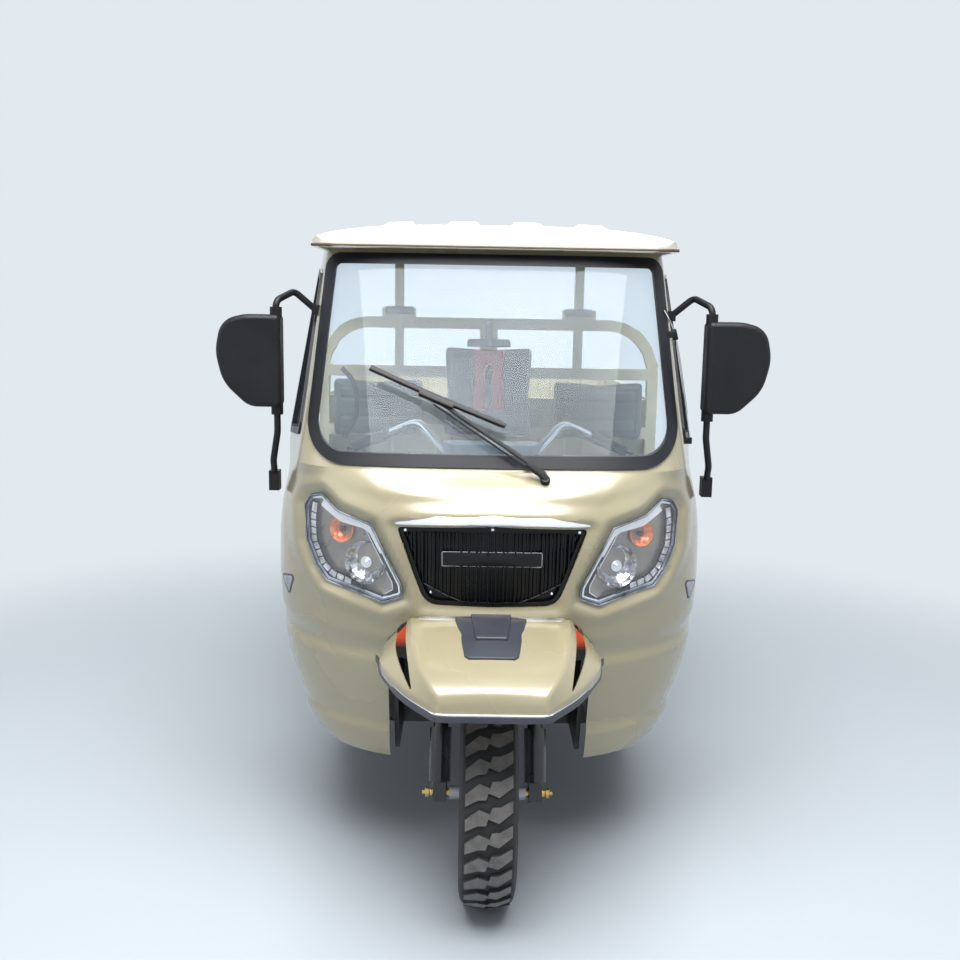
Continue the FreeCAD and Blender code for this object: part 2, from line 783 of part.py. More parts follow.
def rim(hub_radius, hub_half, spacer_half, bore, disc_offset):
    """Pressed steel wheel: rim, dished disc with round holes, and hub."""
    half = rim_width / 2.0
    lip = bead_radius + 10.0
    seat = bead_radius - seat_gap
    outer = [
        (-half - 6.0, lip), (-half - 2.0, lip), (-half + 4.0, seat), (-22.0, seat), (-14.0, seat - 26.0),
        (14.0, seat - 26.0), (22.0, seat), (half - 4.0, seat), (half + 2.0, lip), (half + 6.0, lip),
    ]
    inner = [
        (half + 3.0, seat - 5.0), (26.0, seat - 5.0), (18.0, seat - 31.0), (-18.0, seat - 31.0),
        (-26.0, seat - 5.0), (-half - 3.0, seat - 5.0),
    ]
    band = Part.Face(outline([V(a, 0, b) for a, b in outer + inner])).revolve(V(0, 0, 0), V(1, 0, 0), 360)
    disc_points = [
        (18.0, seat - 30.0), (-18.0, seat - 30.0), (disc_offset - 4.0, 92.0), (disc_offset - 4.0, 0.0),
        (disc_offset + 4.0, 0.0), (disc_offset + 4.0, 94.0),
    ]
    disc = Part.Face(outline([V(a, 0, b) for a, b in disc_points])).revolve(V(0, 0, 0), V(1, 0, 0), 360)
    hub = rod(V(-hub_half, 0, 0), V(hub_half, 0, 0), hub_radius)
    spacer = rod(V(-spacer_half, 0, 0), V(spacer_half, 0, 0), bore + 8.0)
    wheel = fused([band, disc, hub, spacer])
    for i in range(6):
        hole = rod(V(-60, 0, 106.0), V(60, 0, 106.0), 11.0)
        hole.rotate(V(0, 0, 0), V(1, 0, 0), i * 60.0)
        wheel = wheel.cut(hole)
    return wheel.cut(rod(V(-200, 0, 0), V(200, 0, 0), bore))


def place(shape, x, y, z):
    moved = shape.copy()
    moved.translate(V(x, y, z))
    return moved


def wheels():
    rubber = tyre()
    spacer_half = leg_half - clamp_width / 2.0 - wheel_side_gap
    front_rim = rim(52.0, 62.0, spacer_half, front_axle_radius + running_gap, 0.0)
    rear_rim = rim(44.0, 58.0, 62.0, stub_radius + running_gap, -14.0)
    half = rear_track / 2.0
    save("tyre_front", place(rubber, 0, 0, front_axle_z))
    save("rim_front", place(front_rim, 0, 0, front_axle_z))
    save("tyre_rear_left", place(rubber, half, rear_axle_y, tyre_radius))
    save("rim_rear_left", place(mirrored(rear_rim), half, rear_axle_y, tyre_radius))
    save("tyre_rear_right", place(rubber, -half, rear_axle_y, tyre_radius))
    save("rim_rear_right", place(rear_rim, -half, rear_axle_y, tyre_radius))


def rail_outline():
    low, high = rail_low_z, rail_high_z
    return [
        (rail_front_y, low), (rail_rise_start, low), (rail_rise_end, high), (box_end_y, high),
        (box_end_y, high + rail_height), (rail_rise_end - 20.0, high + rail_height),
        (rail_rise_start - 20.0, low + rail_height), (rail_front_y, low + rail_height),
    ]


def cross_tube(y, z, half, height):
    return block((-half, half), (y, y + cross_width), (z, z + height))


def chassis():
    rail = side_prism(rail_outline(), 0.0, (rail_half - rail_width / 2.0, rail_half + rail_width / 2.0))
    inside = rail_half - rail_width / 2.0
    pieces = [rail, mirrored(rail)]
    pieces.append(cross_tube(rail_front_y, rail_low_z, inside, rail_height))
    pieces.append(cross_tube(engine_front_y - cross_width, rail_low_z, inside, rail_height))
    pieces.append(cross_tube(engine_rear_y, rail_high_z, inside, rail_height))
    pieces.append(cross_tube(rear_axle_y - spring_half_span - 70.0, rail_high_z, inside, rail_height))
    pieces.append(cross_tube(rear_axle_y + spring_half_span + 20.0, rail_high_z, inside, rail_height))
    pieces.append(cross_tube(box_end_y - cross_width, rail_high_z, inside, rail_height))
    low, high = steering_point(head_low), steering_point(head_high)
    neck = [
        (low.y + 16.0, low.z + 12.0), (high.y - 4.0, high.z - 6.0), (high.y + 60.0, high.z - 34.0),
        (rail_front_y, high.z - 90.0), (rail_front_y, rail_low_z), (neck_front_y, rail_low_z),
        (neck_front_y, low.z + 40.0), (low.y + 70.0, low.z + 12.0),
    ]
    backbone = side_prism(neck, 0.0, (-neck_half, neck_half))
    tube_outer = raked(rod(V(0, fork_offset, up_axis(head_low)), V(0, fork_offset, up_axis(head_high)), head_radius))
    bore = raked(rod(V(0, fork_offset, up_axis(0)), V(0, fork_offset, up_axis(900)), stem_radius + running_gap))
    for y, half in bearer_places():
        pieces.append(cross_tube(y, rail_high_z + rail_height, half, bearer_height))
    plate = block((rail_half, box_half - wall_thickness), (box_end_y - 12.0, box_end_y - 8.0),
                  (lamp_low_z - 10.0, rail_high_z + rail_height))
    pieces += [plate, mirrored(plate)]
    save("chassis_frame", fused(pieces + [backbone, tube_outer]).cut(bore))


def bearer_places():
    """Where each cross bearer starts, and its half length."""
    box_inner = box_half - wall_thickness
    rest = [box_front_y + wall_thickness + 200.0, rear_axle_y - 140.0, flap_y - cross_width, box_end_y - cross_width]
    return [(hoop_y - cross_width / 2.0, hoop_half + hoop_tube / 2.0)] + [(y, box_inner) for y in rest]


def wheel_house():
    """Liner behind the leg shields that keeps the front wheel's dirt out of the cab."""
    half, sheet = wheel_house_half, wheel_house_sheet
    top = wheel_house_top
    outer = block((-half, half), (-100.0, neck_front_y), (sill_z + 20.0, top))
    inner = block((sheet - half, half - sheet), (-101.0, neck_front_y - sheet), (sill_z + 19.0, top - sheet))
    shell = outer.cut(inner)
    room = (-neck_half - 12.0, neck_half + 12.0)
    slot = block(room, (60.0, neck_front_y + 1.0), (top - sheet - 1.0, top + 1.0))
    neck_low = steering_point(head_low).z
    passage = block(room, (neck_front_y - sheet - 1.0, neck_front_y + 1.0), (neck_low, top + 1.0))
    inside = cowl_volume(body_wall + panel_gap, flank_end_y, sill_z, belt_z)
    save("wheel_house", shell.common(inside).cut(slot).cut(passage))


def cab_floor():
    """Floor pan, cut round the wheel liner and the engine bay, with the front toe panels."""
    low, high = rail_low_z + rail_height, rail_low_z + rail_height + floor_thickness
    rear = hoop_y - cross_width / 2.0
    pan = block((-floor_half, floor_half), (-100.0, flank_end_y), (low, high))
    pan = pan.common(cowl_volume(body_wall + panel_gap, flank_end_y, sill_z, belt_z))
    pan = pan.cut(block((-wheel_house_half, wheel_house_half), (-100.0, neck_front_y), (low - 1.0, high + 1.0)))
    pan = pan.cut(block((-neck_half, neck_half), (0.0, rail_front_y), (low - 1.0, high + 1.0)))
    rest = block((-floor_half, floor_half), (flank_end_y, rear), (low, high))
    bay = block((-engine_bay_half, engine_bay_half), (seat_front_y + seat_sheet, rear + 1.0), (low - 1.0, high + 1.0))
    sill = block((floor_half - sill_width, floor_half), (flank_end_y, rear), (low - sill_height, low))
    sill = sill.makeFillet(12.0, [e for e in sill.Edges if is_low_outer(e, low - sill_height)])
    save("floor_pan", fused([fused([pan, rest]).cut(bay), sill, mirrored(sill)]))


def is_low_outer(edge, z):
    box = edge.BoundBox
    return box.ZMax < z + 0.1 and box.YLength > 100.0 and box.XMin > floor_half - 0.1


def seat_base():
    """Folded sheet box under the seats, open at the rear and below, over the engine."""
    low = rail_low_z + rail_height + floor_thickness
    rear = hoop_y - cross_width / 2.0
    x, y, z = (-seat_base_half, seat_base_half), (seat_front_y, rear), (low, seat_base_z)
    outer = block(x, y, z)
    sheet = seat_sheet
    inner = block((x[0] + sheet, x[1] - sheet), (y[0] + sheet, y[1] + 1.0), (z[0] - 1.0, z[1] - sheet))
    vent = block((-150.0, 150.0), (y[0] - 1.0, y[0] + sheet + 1.0), (low + 60.0, low + 200.0))
    save("seat_base", outer.cut(inner).cut(vent))


def cushion_block(x, y, z, radius):
    body = block(x, y, z)
    return body.makeFillet(radius, body.Edges)


def seats():
    top = seat_base_z + seat_gap
    rear = hoop_y - hoop_tube / 2.0 - backrest_plate
    driver = cushion_block((-driver_half, driver_half), (driver_front_y, driver_back_y), (top, top + driver_cushion), 24.0)
    save("driver_cushion", driver)
    x = (driver_half + 8.0, seat_base_half)
    side = cushion_block(x, (seat_front_y + 10.0, rear - 60.0), (top, top + side_cushion), 22.0)
    save("passenger_cushion_right", mirrored(side))
    save("passenger_cushion_left", side)
    back = cushion_block((-162.0, 162.0), (driver_back_y, driver_back_y + backrest_depth), (driver_back_low, driver_back_high), 26.0)
    save("driver_backrest", back)
    x = (227.0, hoop_half - hoop_tube / 2.0 - 14.0)
    pad = cushion_block(x, (rear - backrest_depth, rear), (side_back_low, side_back_high), 22.0)
    save("passenger_backrest_left", pad)
    save("passenger_backrest_right", mirrored(pad))


def square_sweep(points, bend):
    """Square tube of the hoop's section along a path that lies across the vehicle."""
    path = Part.Wire(rounded_edges(points, bend, False))
    start = points[0]
    half = hoop_tube / 2.0
    ring = Part.makePolygon([start + V(a, b, 0) for a, b in ((-half, -half), (half, -half), (half, half), (-half, half), (-half, -half))])
    return path.makePipeShell([ring], True, False)


def hoop():
    """Rear hoop with its middle bar, roof posts, backrest post and pad plates."""
    foot = rail_high_z + rail_height + bearer_height
    top = hoop_top_z - hoop_tube / 2.0
    path = [V(-hoop_half, hoop_y, foot), V(-hoop_half, hoop_y, top), V(hoop_half, hoop_y, top), V(hoop_half, hoop_y, foot)]
    frame = square_sweep(path, [0, hoop_radius, hoop_radius, 0])
    half = hoop_tube / 2.0
    bar = block((-hoop_half, hoop_half), (hoop_y - half, hoop_y + half), (mid_bar_z - half, mid_bar_z + half))
    low_bar = block((-hoop_half, hoop_half), (hoop_y - half, hoop_y + half), (low_bar_z - half, low_bar_z + half))
    centre = block((-post_width, post_width), (hoop_y - half, hoop_y + half), (low_bar_z, top))
    pieces = [frame, bar, low_bar, centre]
    for side in (-1.0, 1.0):
        edge = post_width / 2.0
        x = side * post_half
        post = block((x - edge, x + edge), (hoop_y - edge, hoop_y + edge), (mid_bar_z, roof_post_top()))
        pieces.append(post)
        pieces.append(block((x - 60.0, x + 60.0), (hoop_y - half - 4.0, hoop_y - half), (top - 14.0, top + 52.0)))
    arm = block((-post_width, post_width), (driver_back_y + backrest_depth, hoop_y - half), (mid_bar_z - 130.0, mid_bar_z + 10.0))
    pieces.append(arm)
    plate_y = (hoop_y - half - backrest_plate, hoop_y - half)
    for side in (-1.0, 1.0):
        x = sorted((side * 260.0, side * 530.0))
        pieces.append(block(tuple(x), plate_y, (side_back_low + 30.0, side_back_high - 30.0)))
    save("rear_hoop", fused(pieces))


def roof_post_top():
    """Top of a roof post, just under the roof's inner face at the post's outer edge."""
    return roof_arch(post_half + post_width / 2.0) - roof_skin - panel_gap


def engine():
    """Engine and gearbox as a plain mass between the rails, with its finned cylinder."""
    x = (-150.0, 150.0)
    case = block(x, (engine_front_y, engine_rear_y), (rail_low_z, rail_low_z + 190.0))
    case = case.makeFillet(30.0, [e for e in case.Edges if e.BoundBox.XLength < 0.1 and e.BoundBox.YLength < 0.1])
    cylinder = block((-80.0, 80.0), (engine_front_y + 70.0, engine_front_y + 230.0), (rail_low_z + 190.0, rail_low_z + 330.0))
    fins = []
    for i in range(6):
        z = rail_low_z + 205.0 + i * 19.0
        fins.append(block((-98.0, 98.0), (engine_front_y + 52.0, engine_front_y + 248.0), (z, z + 7.0)))
    save("engine", fused([case, cylinder] + fins))
    low, high = rail_low_z + rail_height + floor_thickness, seat_base_z - seat_sheet
    tank = block((engine_bay_half + 10.0, seat_base_half - seat_sheet - 10.0), (seat_front_y + 60.0, engine_rear_y - 20.0), (low, high - 30.0))
    save("fuel_tank", tank.makeFillet(18.0, tank.Edges))
    cell = block((-seat_base_half + seat_sheet + 10.0, -engine_bay_half - 10.0), (seat_front_y + 60.0, seat_front_y + 260.0), (low, low + 190.0))
    save("battery", cell)


def drive_line():
    """Propeller shaft, axle beam with its differential, stubs and brake plates."""
    start = V(0, engine_rear_y, rail_low_z + 60.0)
    end = V(0, rear_axle_y - diff_radius - 30.0, tyre_radius)
    along = (end - start).normalize()
    shaft = rod(start + along * 46.0, end + along * 12.0, 24.0)
    yoke = rod(start, start + along * 50.0, 38.0)
    front = Part.Face(outline([V(-30, start.y, start.z - 34), V(30, start.y, start.z - 34), V(30, start.y, start.z + 34), V(-30, start.y, start.z + 34)], 8.0)).extrude(V(0, 40, 0))
    nose_piece = rod(V(0, end.y, tyre_radius), V(0, rear_axle_y - 60.0, tyre_radius), 46.0)
    save("propeller_shaft", fused([shaft, yoke, front]).cut(block((-60.0, 60.0), (engine_rear_y - 60.0, engine_rear_y), (300.0, 520.0))).cut(nose_piece))
    beam_half = rear_track / 2.0 - 78.0
    beam = rod(V(-beam_half, rear_axle_y, tyre_radius), V(beam_half, rear_axle_y, tyre_radius), axle_tube_radius)
    ball = Part.makeSphere(diff_radius, V(0, rear_axle_y, tyre_radius))
    ball = ball.common(block((-96.0, 96.0), (rear_axle_y - 200.0, rear_axle_y + 200.0), (0.0, 600.0)))
    stub_end = rear_track / 2.0 + 70.0
    stub = rod(V(-stub_end, rear_axle_y, tyre_radius), V(stub_end, rear_axle_y, tyre_radius), stub_radius)
    plates = both_sides(rod(V(beam_half - 12.0, rear_axle_y, tyre_radius), V(beam_half, rear_axle_y, tyre_radius), 110.0))
    save("rear_axle", fused([beam, ball, nose_piece, stub] + list(plates.Solids)))


def leaf_springs():
    """Stack of arched leaves on each side, with rolled eyes, hangers and a saddle."""
    seat = tyre_radius + axle_tube_radius
    drop = rail_high_z - spring_eye_drop - seat - spring_leaves * spring_leaf
    radius = (spring_half_span ** 2 + drop ** 2) / (2.0 * drop)
    x = (rail_half - spring_width / 2.0, rail_half + spring_width / 2.0)
    leaves = []
    for i in range(spring_leaves):
        bend = radius + i * spring_leaf
        centre = V(x[0], rear_axle_y, seat + spring_leaves * spring_leaf + radius)
        outer = Part.makeCylinder(bend, spring_width, centre, V(1, 0, 0))
        inner = Part.makeCylinder(bend - spring_leaf, spring_width + 2.0, centre - V(1, 0, 0), V(1, 0, 0))
        reach = spring_half_span * (1.0 - 0.2 * i)
        clip = block((x[0] - 1.0, x[1] + 1.0), (rear_axle_y - reach, rear_axle_y + reach), (0.0, rail_high_z - 4.0))
        leaves.append(outer.cut(inner).common(clip))
    eye_z = rail_high_z - spring_eye_drop
    for way in (-1.0, 1.0):
        y = rear_axle_y + way * spring_half_span
        leaves.append(rod(V(x[0], y, eye_z), V(x[1], y, eye_z), 17.0))
        leaves.append(block((x[0] + 6.0, x[1] - 6.0), (y - 17.0, y + 17.0), (eye_z, rail_high_z)))
    leaves.append(block(x, (rear_axle_y - 45.0, rear_axle_y + 45.0), (seat + 24.0, seat + spring_leaves * spring_leaf + 14.0)))
    pack = fused(leaves)
    beam = rod(V(0, rear_axle_y, tyre_radius), V(700, rear_axle_y, tyre_radius), axle_tube_radius)
    save("leaf_springs", both_sides(pack.cut(beam)))


def exhaust():
    z = rail_high_z - exhaust_drop
    x = exhaust_x
    start_y = engine_front_y + 180.0
    route = [V(-150, start_y, z), V(x, start_y, z), V(x, engine_rear_y + 120.0, z)]
    pipe = tube(route, exhaust_pipe, [0, 50, 0])
    can = rod(V(x, engine_rear_y + 100.0, z), V(x, engine_rear_y + 460.0, z), exhaust_radius)
    tail = rod(V(x, engine_rear_y + 455.0, z), V(x, engine_rear_y + 560.0, z), 16.0)
    y = box_front_y + wall_thickness + 200.0
    strap = block((x - 15.0, x + 15.0), (y + 5.0, y + 25.0), (z + 40.0, rail_high_z + rail_height))
    save("exhaust", fused([pipe, can, tail, strap]))


def swage_line(length, low, high):
    """Corners of a folded sheet's one face: shallow channels along its length."""
    count = int(length // swage_pitch)
    margin = (length - count * swage_pitch) / 2.0
    points = [(0.0, low)]
    for i in range(count):
        start = margin + i * swage_pitch + (swage_pitch - swage_width) / 2.0
        slope = swage_depth
        points += [(start, low), (start + slope, high), (start + swage_width - slope, high), (start + swage_width, low)]
    return points + [(length, low)]


def swaged_panel(length, height):
    """Panel standing along X with its flat face at Y zero and channels pressed into both faces."""
    near = swage_line(length, 0.0, swage_depth)
    far = [(a, b + wall_thickness - swage_depth) for a, b in swage_line(length, 0.0, swage_depth)]
    return plan_prism(near + far[::-1], 0.0, (0.0, height))


def cargo_box():
    inner = box_half - wall_thickness
    deck = block((-inner, inner), (box_front_y + wall_thickness, box_end_y), (deck_z - deck_thickness, deck_z))
    save("cargo_floor", deck)
    height = box_top_z - wall_low_z
    panel = swaged_panel(2.0 * inner, height)
    panel.translate(V(-inner, box_front_y, wall_low_z))
    side = swaged_panel(box_length, height)
    side.rotate(V(0, 0, 0), V(0, 0, 1), 90)
    side.translate(V(box_half, box_front_y, wall_low_z))
    rail = block((box_half - wall_thickness, box_half), (box_front_y, box_end_y), (box_top_z, box_top_z + top_rail))
    rear_post = block((box_half - wall_thickness, box_half), (box_end_y - 40.0, box_end_y), (wall_low_z, box_top_z))
    wall = fused([side, rail, rear_post])
    save("box_wall_left", wall)
    save("box_wall_right", mirrored(wall))
    cap = block((-inner, inner), (box_front_y, box_front_y + wall_thickness), (box_top_z, box_top_z + top_rail))
    save("box_front_wall", fused([panel, cap]))


def tailgate():
    low, high = hinge_z + 12.0, box_top_z + top_rail
    y = gate_inner_y
    panel = swaged_panel(2.0 * gate_half, high - low)
    panel.translate(V(-gate_half, y, low))
    lip = block((-gate_half, gate_half), (y, y + wall_thickness), (high - 30.0, high))
    foot = block((-gate_half, gate_half), (y, y + wall_thickness), (low, low + 40.0))
    sides = block((gate_half - 30.0, gate_half), (y, y + wall_thickness), (low, high))
    pieces = [panel, lip, foot, sides, mirrored(sides)]
    ears, pins = [], []
    for x in (-hinge_place, 0.0, hinge_place):
        axis = V(x, hinge_y, hinge_z)
        half = V(hinge_half, 0, 0)
        pieces.append(rod(axis - half, axis + half, hinge_radius))
        pieces.append(block((x - hinge_half, x + hinge_half), (gate_outer_y - 6.0, hinge_y), (hinge_z, low + 16.0)))
        reach = V(hinge_half + 16.0, 0, 0)
        pins.append(rod(axis - reach, axis + reach, hinge_pin_radius))
        for side in (-1.0, 1.0):
            centre = axis + V(side * (hinge_half + 9.0), 0, 0)
            ears.append(rod(centre - V(5, 0, 0), centre + V(5, 0, 0), hinge_radius - 1.0))
            ears.append(block((centre.x - 5.0, centre.x + 5.0), (box_end_y, hinge_y), (hinge_z - 9.0, hinge_z + 4.0)))
    gate = fused(pieces)
    for x in (-hinge_place, 0.0, hinge_place):
        axis = V(x, hinge_y, hinge_z)
        gate = gate.cut(rod(axis - V(100, 0, 0), axis + V(100, 0, 0), hinge_pin_radius + running_gap))
    save("tailgate", gate)
    hinges = fused(pins + ears)
    save("gate_hinges", hinges)


def rear_details():
    x = box_half - wall_thickness
    lamp = block((x - 110.0, x), (box_end_y - 8.0, box_end_y + 22.0), (lamp_low_z, lamp_low_z + 90.0))
    lamp = lamp.makeFillet(6.0, [e for e in lamp.Edges if e.BoundBox.YMin > box_end_y + 21.0])
    save("tail_lamps", both_sides(lamp))
    lug = side_prism([(box_end_y, tow_z - 32.0), (box_end_y, tow_z + 32.0), (box_end_y + 40.0, tow_z + 22.0), (box_end_y + 40.0, tow_z - 22.0)], [0, 0, 18, 18], (-tow_plate / 2.0, tow_plate / 2.0))
    eye = rod(V(-50, box_end_y + 20.0, tow_z), V(50, box_end_y + 20.0, tow_z), tow_bore / 2.0)
    save("tow_lug", lug.cut(eye))
    outer = rear_track / 2.0 + tyre_width / 2.0
    flap = block((outer - tyre_width - 10.0, outer), (flap_y, flap_y + 6.0), (flap_low_z, rail_high_z + rail_height + bearer_height))
    save("mud_flaps", both_sides(flap))


def mirrors():
    """Door mirrors on bent tubes: a bracket low on the flank and one high on the pillar."""
    x = mirror_arm_x
    top, low = mirror_high_z, mirror_low_z
    upper = tube([V(x, mirror_y, top - 60.0), V(x, mirror_y, top + 36.0), V(546, mirror_y + 70.0, top + 62.0), V(490, 360.0, top + 12.0)], mirror_tube, [0, 26, 20, 0])
    lower = tube([V(x, mirror_y, low + 60.0), V(x, mirror_y, low - 70.0), V(600, 290.0, low - 150.0), V(604, 330.0, low - 205.0)], mirror_tube, [0, 60, 40, 0])
    height = top - low
    head = [
        (x - 15.0, top), (x - 15.0, low), (x + 72.0, low), (x + 140.0, low + 0.26 * height),
        (x + 160.0, low + 0.6 * height), (x + 142.0, top - 0.06 * height), (x + 80.0, top),
    ]
    radii = [14, 14, 60, 110, 130, 60, 80]
    shell = front_prism(head, radii, (mirror_y - mirror_depth * 0.6, mirror_y + mirror_depth * 0.4))
    front = [e for e in shell.Edges if e.BoundBox.YMax < mirror_y - mirror_depth * 0.6 + 0.1]
    shell = shell.makeFillet(14.0, front)
    collars = rod(V(x, mirror_y, top - 10.0), V(x, mirror_y, top + 20.0), mirror_tube + 7.0)
    collar_low = rod(V(x, mirror_y, low - 22.0), V(x, mirror_y, low + 10.0), mirror_tube + 7.0)
    arms = fused([upper, lower])
    head_shape = fused([shell, collars, collar_low]).cut(arms)
    foot = block((590.0, 618.0), (312.0, 348.0), (low - 240.0, low - 185.0)).cut(cowl_volume(0.0, flank_end_y, sill_z, belt_z))
    pad = block((462.0, 500.0), (346.0, 374.0), (top - 2.0, top + 26.0)).cut(screen_volume(0.0, flank_end_y, belt_z, header_z))
    arm = Part.makeCompound([fused([upper, pad]), fused([lower, foot])])
    arm = arm.cut(screen_volume(0.0, flank_end_y, belt_z, header_z))
    save("mirror_heads", both_sides(head_shape))
    save("mirror_arms", both_sides(arm))


def wiper():
    """Wiper arm from its spindle on the scuttle, with a blade that lies on the glass."""
    foot = V(130, 12, 1110)
    spindle = rod(foot, foot + V(0, 50, 20), 14.0)
    elbow = V(128, 14, 1126)
    hold = V(-148, 104, 1300)
    arm = rod(elbow, hold, 5.0)
    blade = rod(V(-318, 140, 1374), V(30, 68, 1238), 7.0)
    tip = Part.makeSphere(9.0, hold)
    swept = fused([spindle, arm, blade, tip]).cut(cowl_volume(0.0, flank_end_y, sill_z, belt_z))
    save("wiper", swept.cut(screen_volume(0.0, flank_end_y, belt_z, header_z)))


build_list = [
    wheel_house, front_cowl, cab_pillars, windscreen, quarter_windows, grille, chrome_strip, headlamps, nose, roof,
    fork, handlebar, instrument_pod, wheels, chassis, cab_floor, seat_base, seats, hoop, engine,
    drive_line, leaf_springs, exhaust, cargo_box, tailgate, rear_details, mirrors, wiper,
]

for build in build_list:
    build()
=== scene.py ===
import bpy
import bmesh
import math
import numpy as np
from mathutils import Matrix, Vector


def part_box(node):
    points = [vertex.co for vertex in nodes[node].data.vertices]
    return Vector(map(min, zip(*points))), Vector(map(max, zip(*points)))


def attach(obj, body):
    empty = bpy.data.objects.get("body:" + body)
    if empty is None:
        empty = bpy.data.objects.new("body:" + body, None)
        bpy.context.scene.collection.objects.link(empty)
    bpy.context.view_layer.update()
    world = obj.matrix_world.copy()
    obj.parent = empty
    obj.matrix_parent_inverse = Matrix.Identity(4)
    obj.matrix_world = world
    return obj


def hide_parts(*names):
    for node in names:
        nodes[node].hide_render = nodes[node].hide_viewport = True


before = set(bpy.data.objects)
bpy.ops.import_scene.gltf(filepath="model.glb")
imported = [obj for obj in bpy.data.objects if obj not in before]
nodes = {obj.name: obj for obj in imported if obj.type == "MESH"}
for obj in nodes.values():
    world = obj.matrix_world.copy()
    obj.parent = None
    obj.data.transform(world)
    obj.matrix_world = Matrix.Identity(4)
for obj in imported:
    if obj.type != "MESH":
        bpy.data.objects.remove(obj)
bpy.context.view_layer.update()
scene = bpy.context.scene
steerBody = "steering"
axleY = -1.325        # where the front axle lies along Y; sizes drawn fore and aft of it are added to this


# Shapes: each is an array of points and a list of faces

def gridFaces(rows, columns, wrapRows=False, wrapColumns=False):
    # a four-sided face between each pair of neighbouring rows and columns, numbered row by row
    r, c = np.meshgrid(np.arange(rows if wrapRows else rows - 1),
                       np.arange(columns if wrapColumns else columns - 1), indexing="ij")
    r2, c2 = (r + 1) % rows, (c + 1) % columns
    quads = np.stack([r * columns + c, r * columns + c2, r2 * columns + c2, r2 * columns + c], -1)
    return quads.reshape(-1, 4).tolist()


def gridShape(points, wrapRows=False, wrapColumns=False, caps=False):
    points = np.asarray(points, float)
    rows, columns = points.shape[:2]
    faces = gridFaces(rows, columns, wrapRows, wrapColumns)
    if caps:
        faces += [list(range(columns))[::-1], list(range((rows - 1) * columns, rows * columns))]
    return points.reshape(-1, 3), faces


def merged(*shapes):
    points, faces, base = [], [], 0
    for somePoints, someFaces in shapes:
        points.append(somePoints)
        faces += [[i + base for i in face] for face in someFaces]
        base += len(somePoints)
    return np.concatenate(points), faces


def flipped(shape):
    # the mirror image across the middle of the vehicle, with its faces turned to match
    return shape[0] * (-1, 1, 1), [face[::-1] for face in shape[1]]


def bothSides(shape):
    return merged(shape, flipped(shape))


def softened(points, times=3, closed=False):
    # each corner is cut a quarter of the way along its sides, again and again, so the line grows round
    points = np.asarray(points, float)
    for _ in range(times):
        after = np.roll(points, -1, 0) if closed else points[1:]
        before = points if closed else points[:-1]
        cut = np.stack([before * 0.75 + after * 0.25, before * 0.25 + after * 0.75], 1).reshape(-1, points.shape[1])
        points = cut if closed else np.concatenate([points[:1], cut, points[-1:]])
    return points


def respaced(points, count, closed=False):
    # the same line with its points at equal steps of its length
    points = np.asarray(points, float)
    line = np.concatenate([points, points[:1]]) if closed else points
    walked = np.concatenate([[0], np.cumsum(np.linalg.norm(np.diff(line, axis=0), axis=1))])
    steps = np.linspace(0, walked[-1], count + 1)[:-1] if closed else np.linspace(0, walked[-1], count)
    return np.stack([np.interp(steps, walked, line[:, i]) for i in range(line.shape[1])], -1)


def carried(path, profile, up=(0, 0, 1)):
    # each profile point stands off the path by its two sizes, along the side and the lift of the path there
    path, profile = np.asarray(path, float), np.asarray(profile, float)
    way = np.gradient(path, axis=0)
    way /= np.linalg.norm(way, axis=1, keepdims=True)
    side = np.cross(way, np.asarray(up, float))
    side /= np.linalg.norm(side, axis=1, keepdims=True)
    lift = np.cross(side, way)
    return path[:, None] + profile[None, :, 0, None] * side[:, None] + profile[None, :, 1, None] * lift[:, None]


def circle(radius, sides):
    turn = np.arange(sides) / sides * 2 * math.pi
    return np.stack([np.cos(turn), np.sin(turn)], -1) * radius


def tubeShape(path, radius, sides=16, up=(0, 0, 1), closed=False):
    # a ring carried along a path; the radius may change from end to end
    ring = carried(path, circle(1.0, sides), up)
    path = np.asarray(path, float)[:, None]
    width = np.broadcast_to(np.asarray(radius, float), (len(path),))[:, None, None]
    return gridShape(path + (ring - path) * width, closed, True, not closed)


def turnedShape(profile, place, axis, sides=24, closed=False):
    # a profile of (radius, height) pairs turned about an axis through a place
    profile = np.asarray(profile, float)
    axis = np.asarray(axis, float) / np.linalg.norm(axis)
    side = np.cross(axis, (0, 0, 1) if abs(axis[2]) < 0.9 else (1, 0, 0))
    side /= np.linalg.norm(side)
    other = np.cross(axis, side)
    turn = np.arange(sides) / sides * 2 * math.pi
    ring = np.cos(turn)[:, None] * side + np.sin(turn)[:, None] * other
    points = (np.asarray(place, float) + profile[:, 1, None, None] * axis
              + profile[:, 0, None, None] * ring[None])
    return gridShape(points, closed, True, not closed)


def slabShape(outline, back, front):
    # a flat outline of (across, along) pairs between two functions that lift it into space
    outline = np.asarray(outline, float)
    count = len(outline)
    points = np.concatenate([back(outline), front(outline)])
    faces = [list(range(count))[::-1], list(range(count, 2 * count))] + gridFaces(2, count, False, True)
    return points, faces


def boxShape(low, high):
    low, high = np.asarray(low, float), np.asarray(high, float)
    pick = np.array([[0, 0, 0], [1, 0, 0], [1, 1, 0], [0, 1, 0], [0, 0, 1], [1, 0, 1], [1, 1, 1], [0, 1, 1]])
    faces = [[3, 2, 1, 0], [4, 5, 6, 7], [0, 1, 5, 4], [1, 2, 6, 5], [2, 3, 7, 6], [3, 0, 4, 7]]
    return low + pick * (high - low), faces


def sweptShape(path, profile, up=(0, 0, 1)):
    # a profile carried along an open path, closed at its ends
    return gridShape(carried(path, profile, up), False, True, True)


def readAll(items, key, width=3, kind=float):
    # a number or a vector from each vertex or polygon of a mesh
    flat = np.empty(len(items) * width, kind)
    items.foreach_get(key, flat)
    return flat.reshape(-1, width) if width > 1 else flat


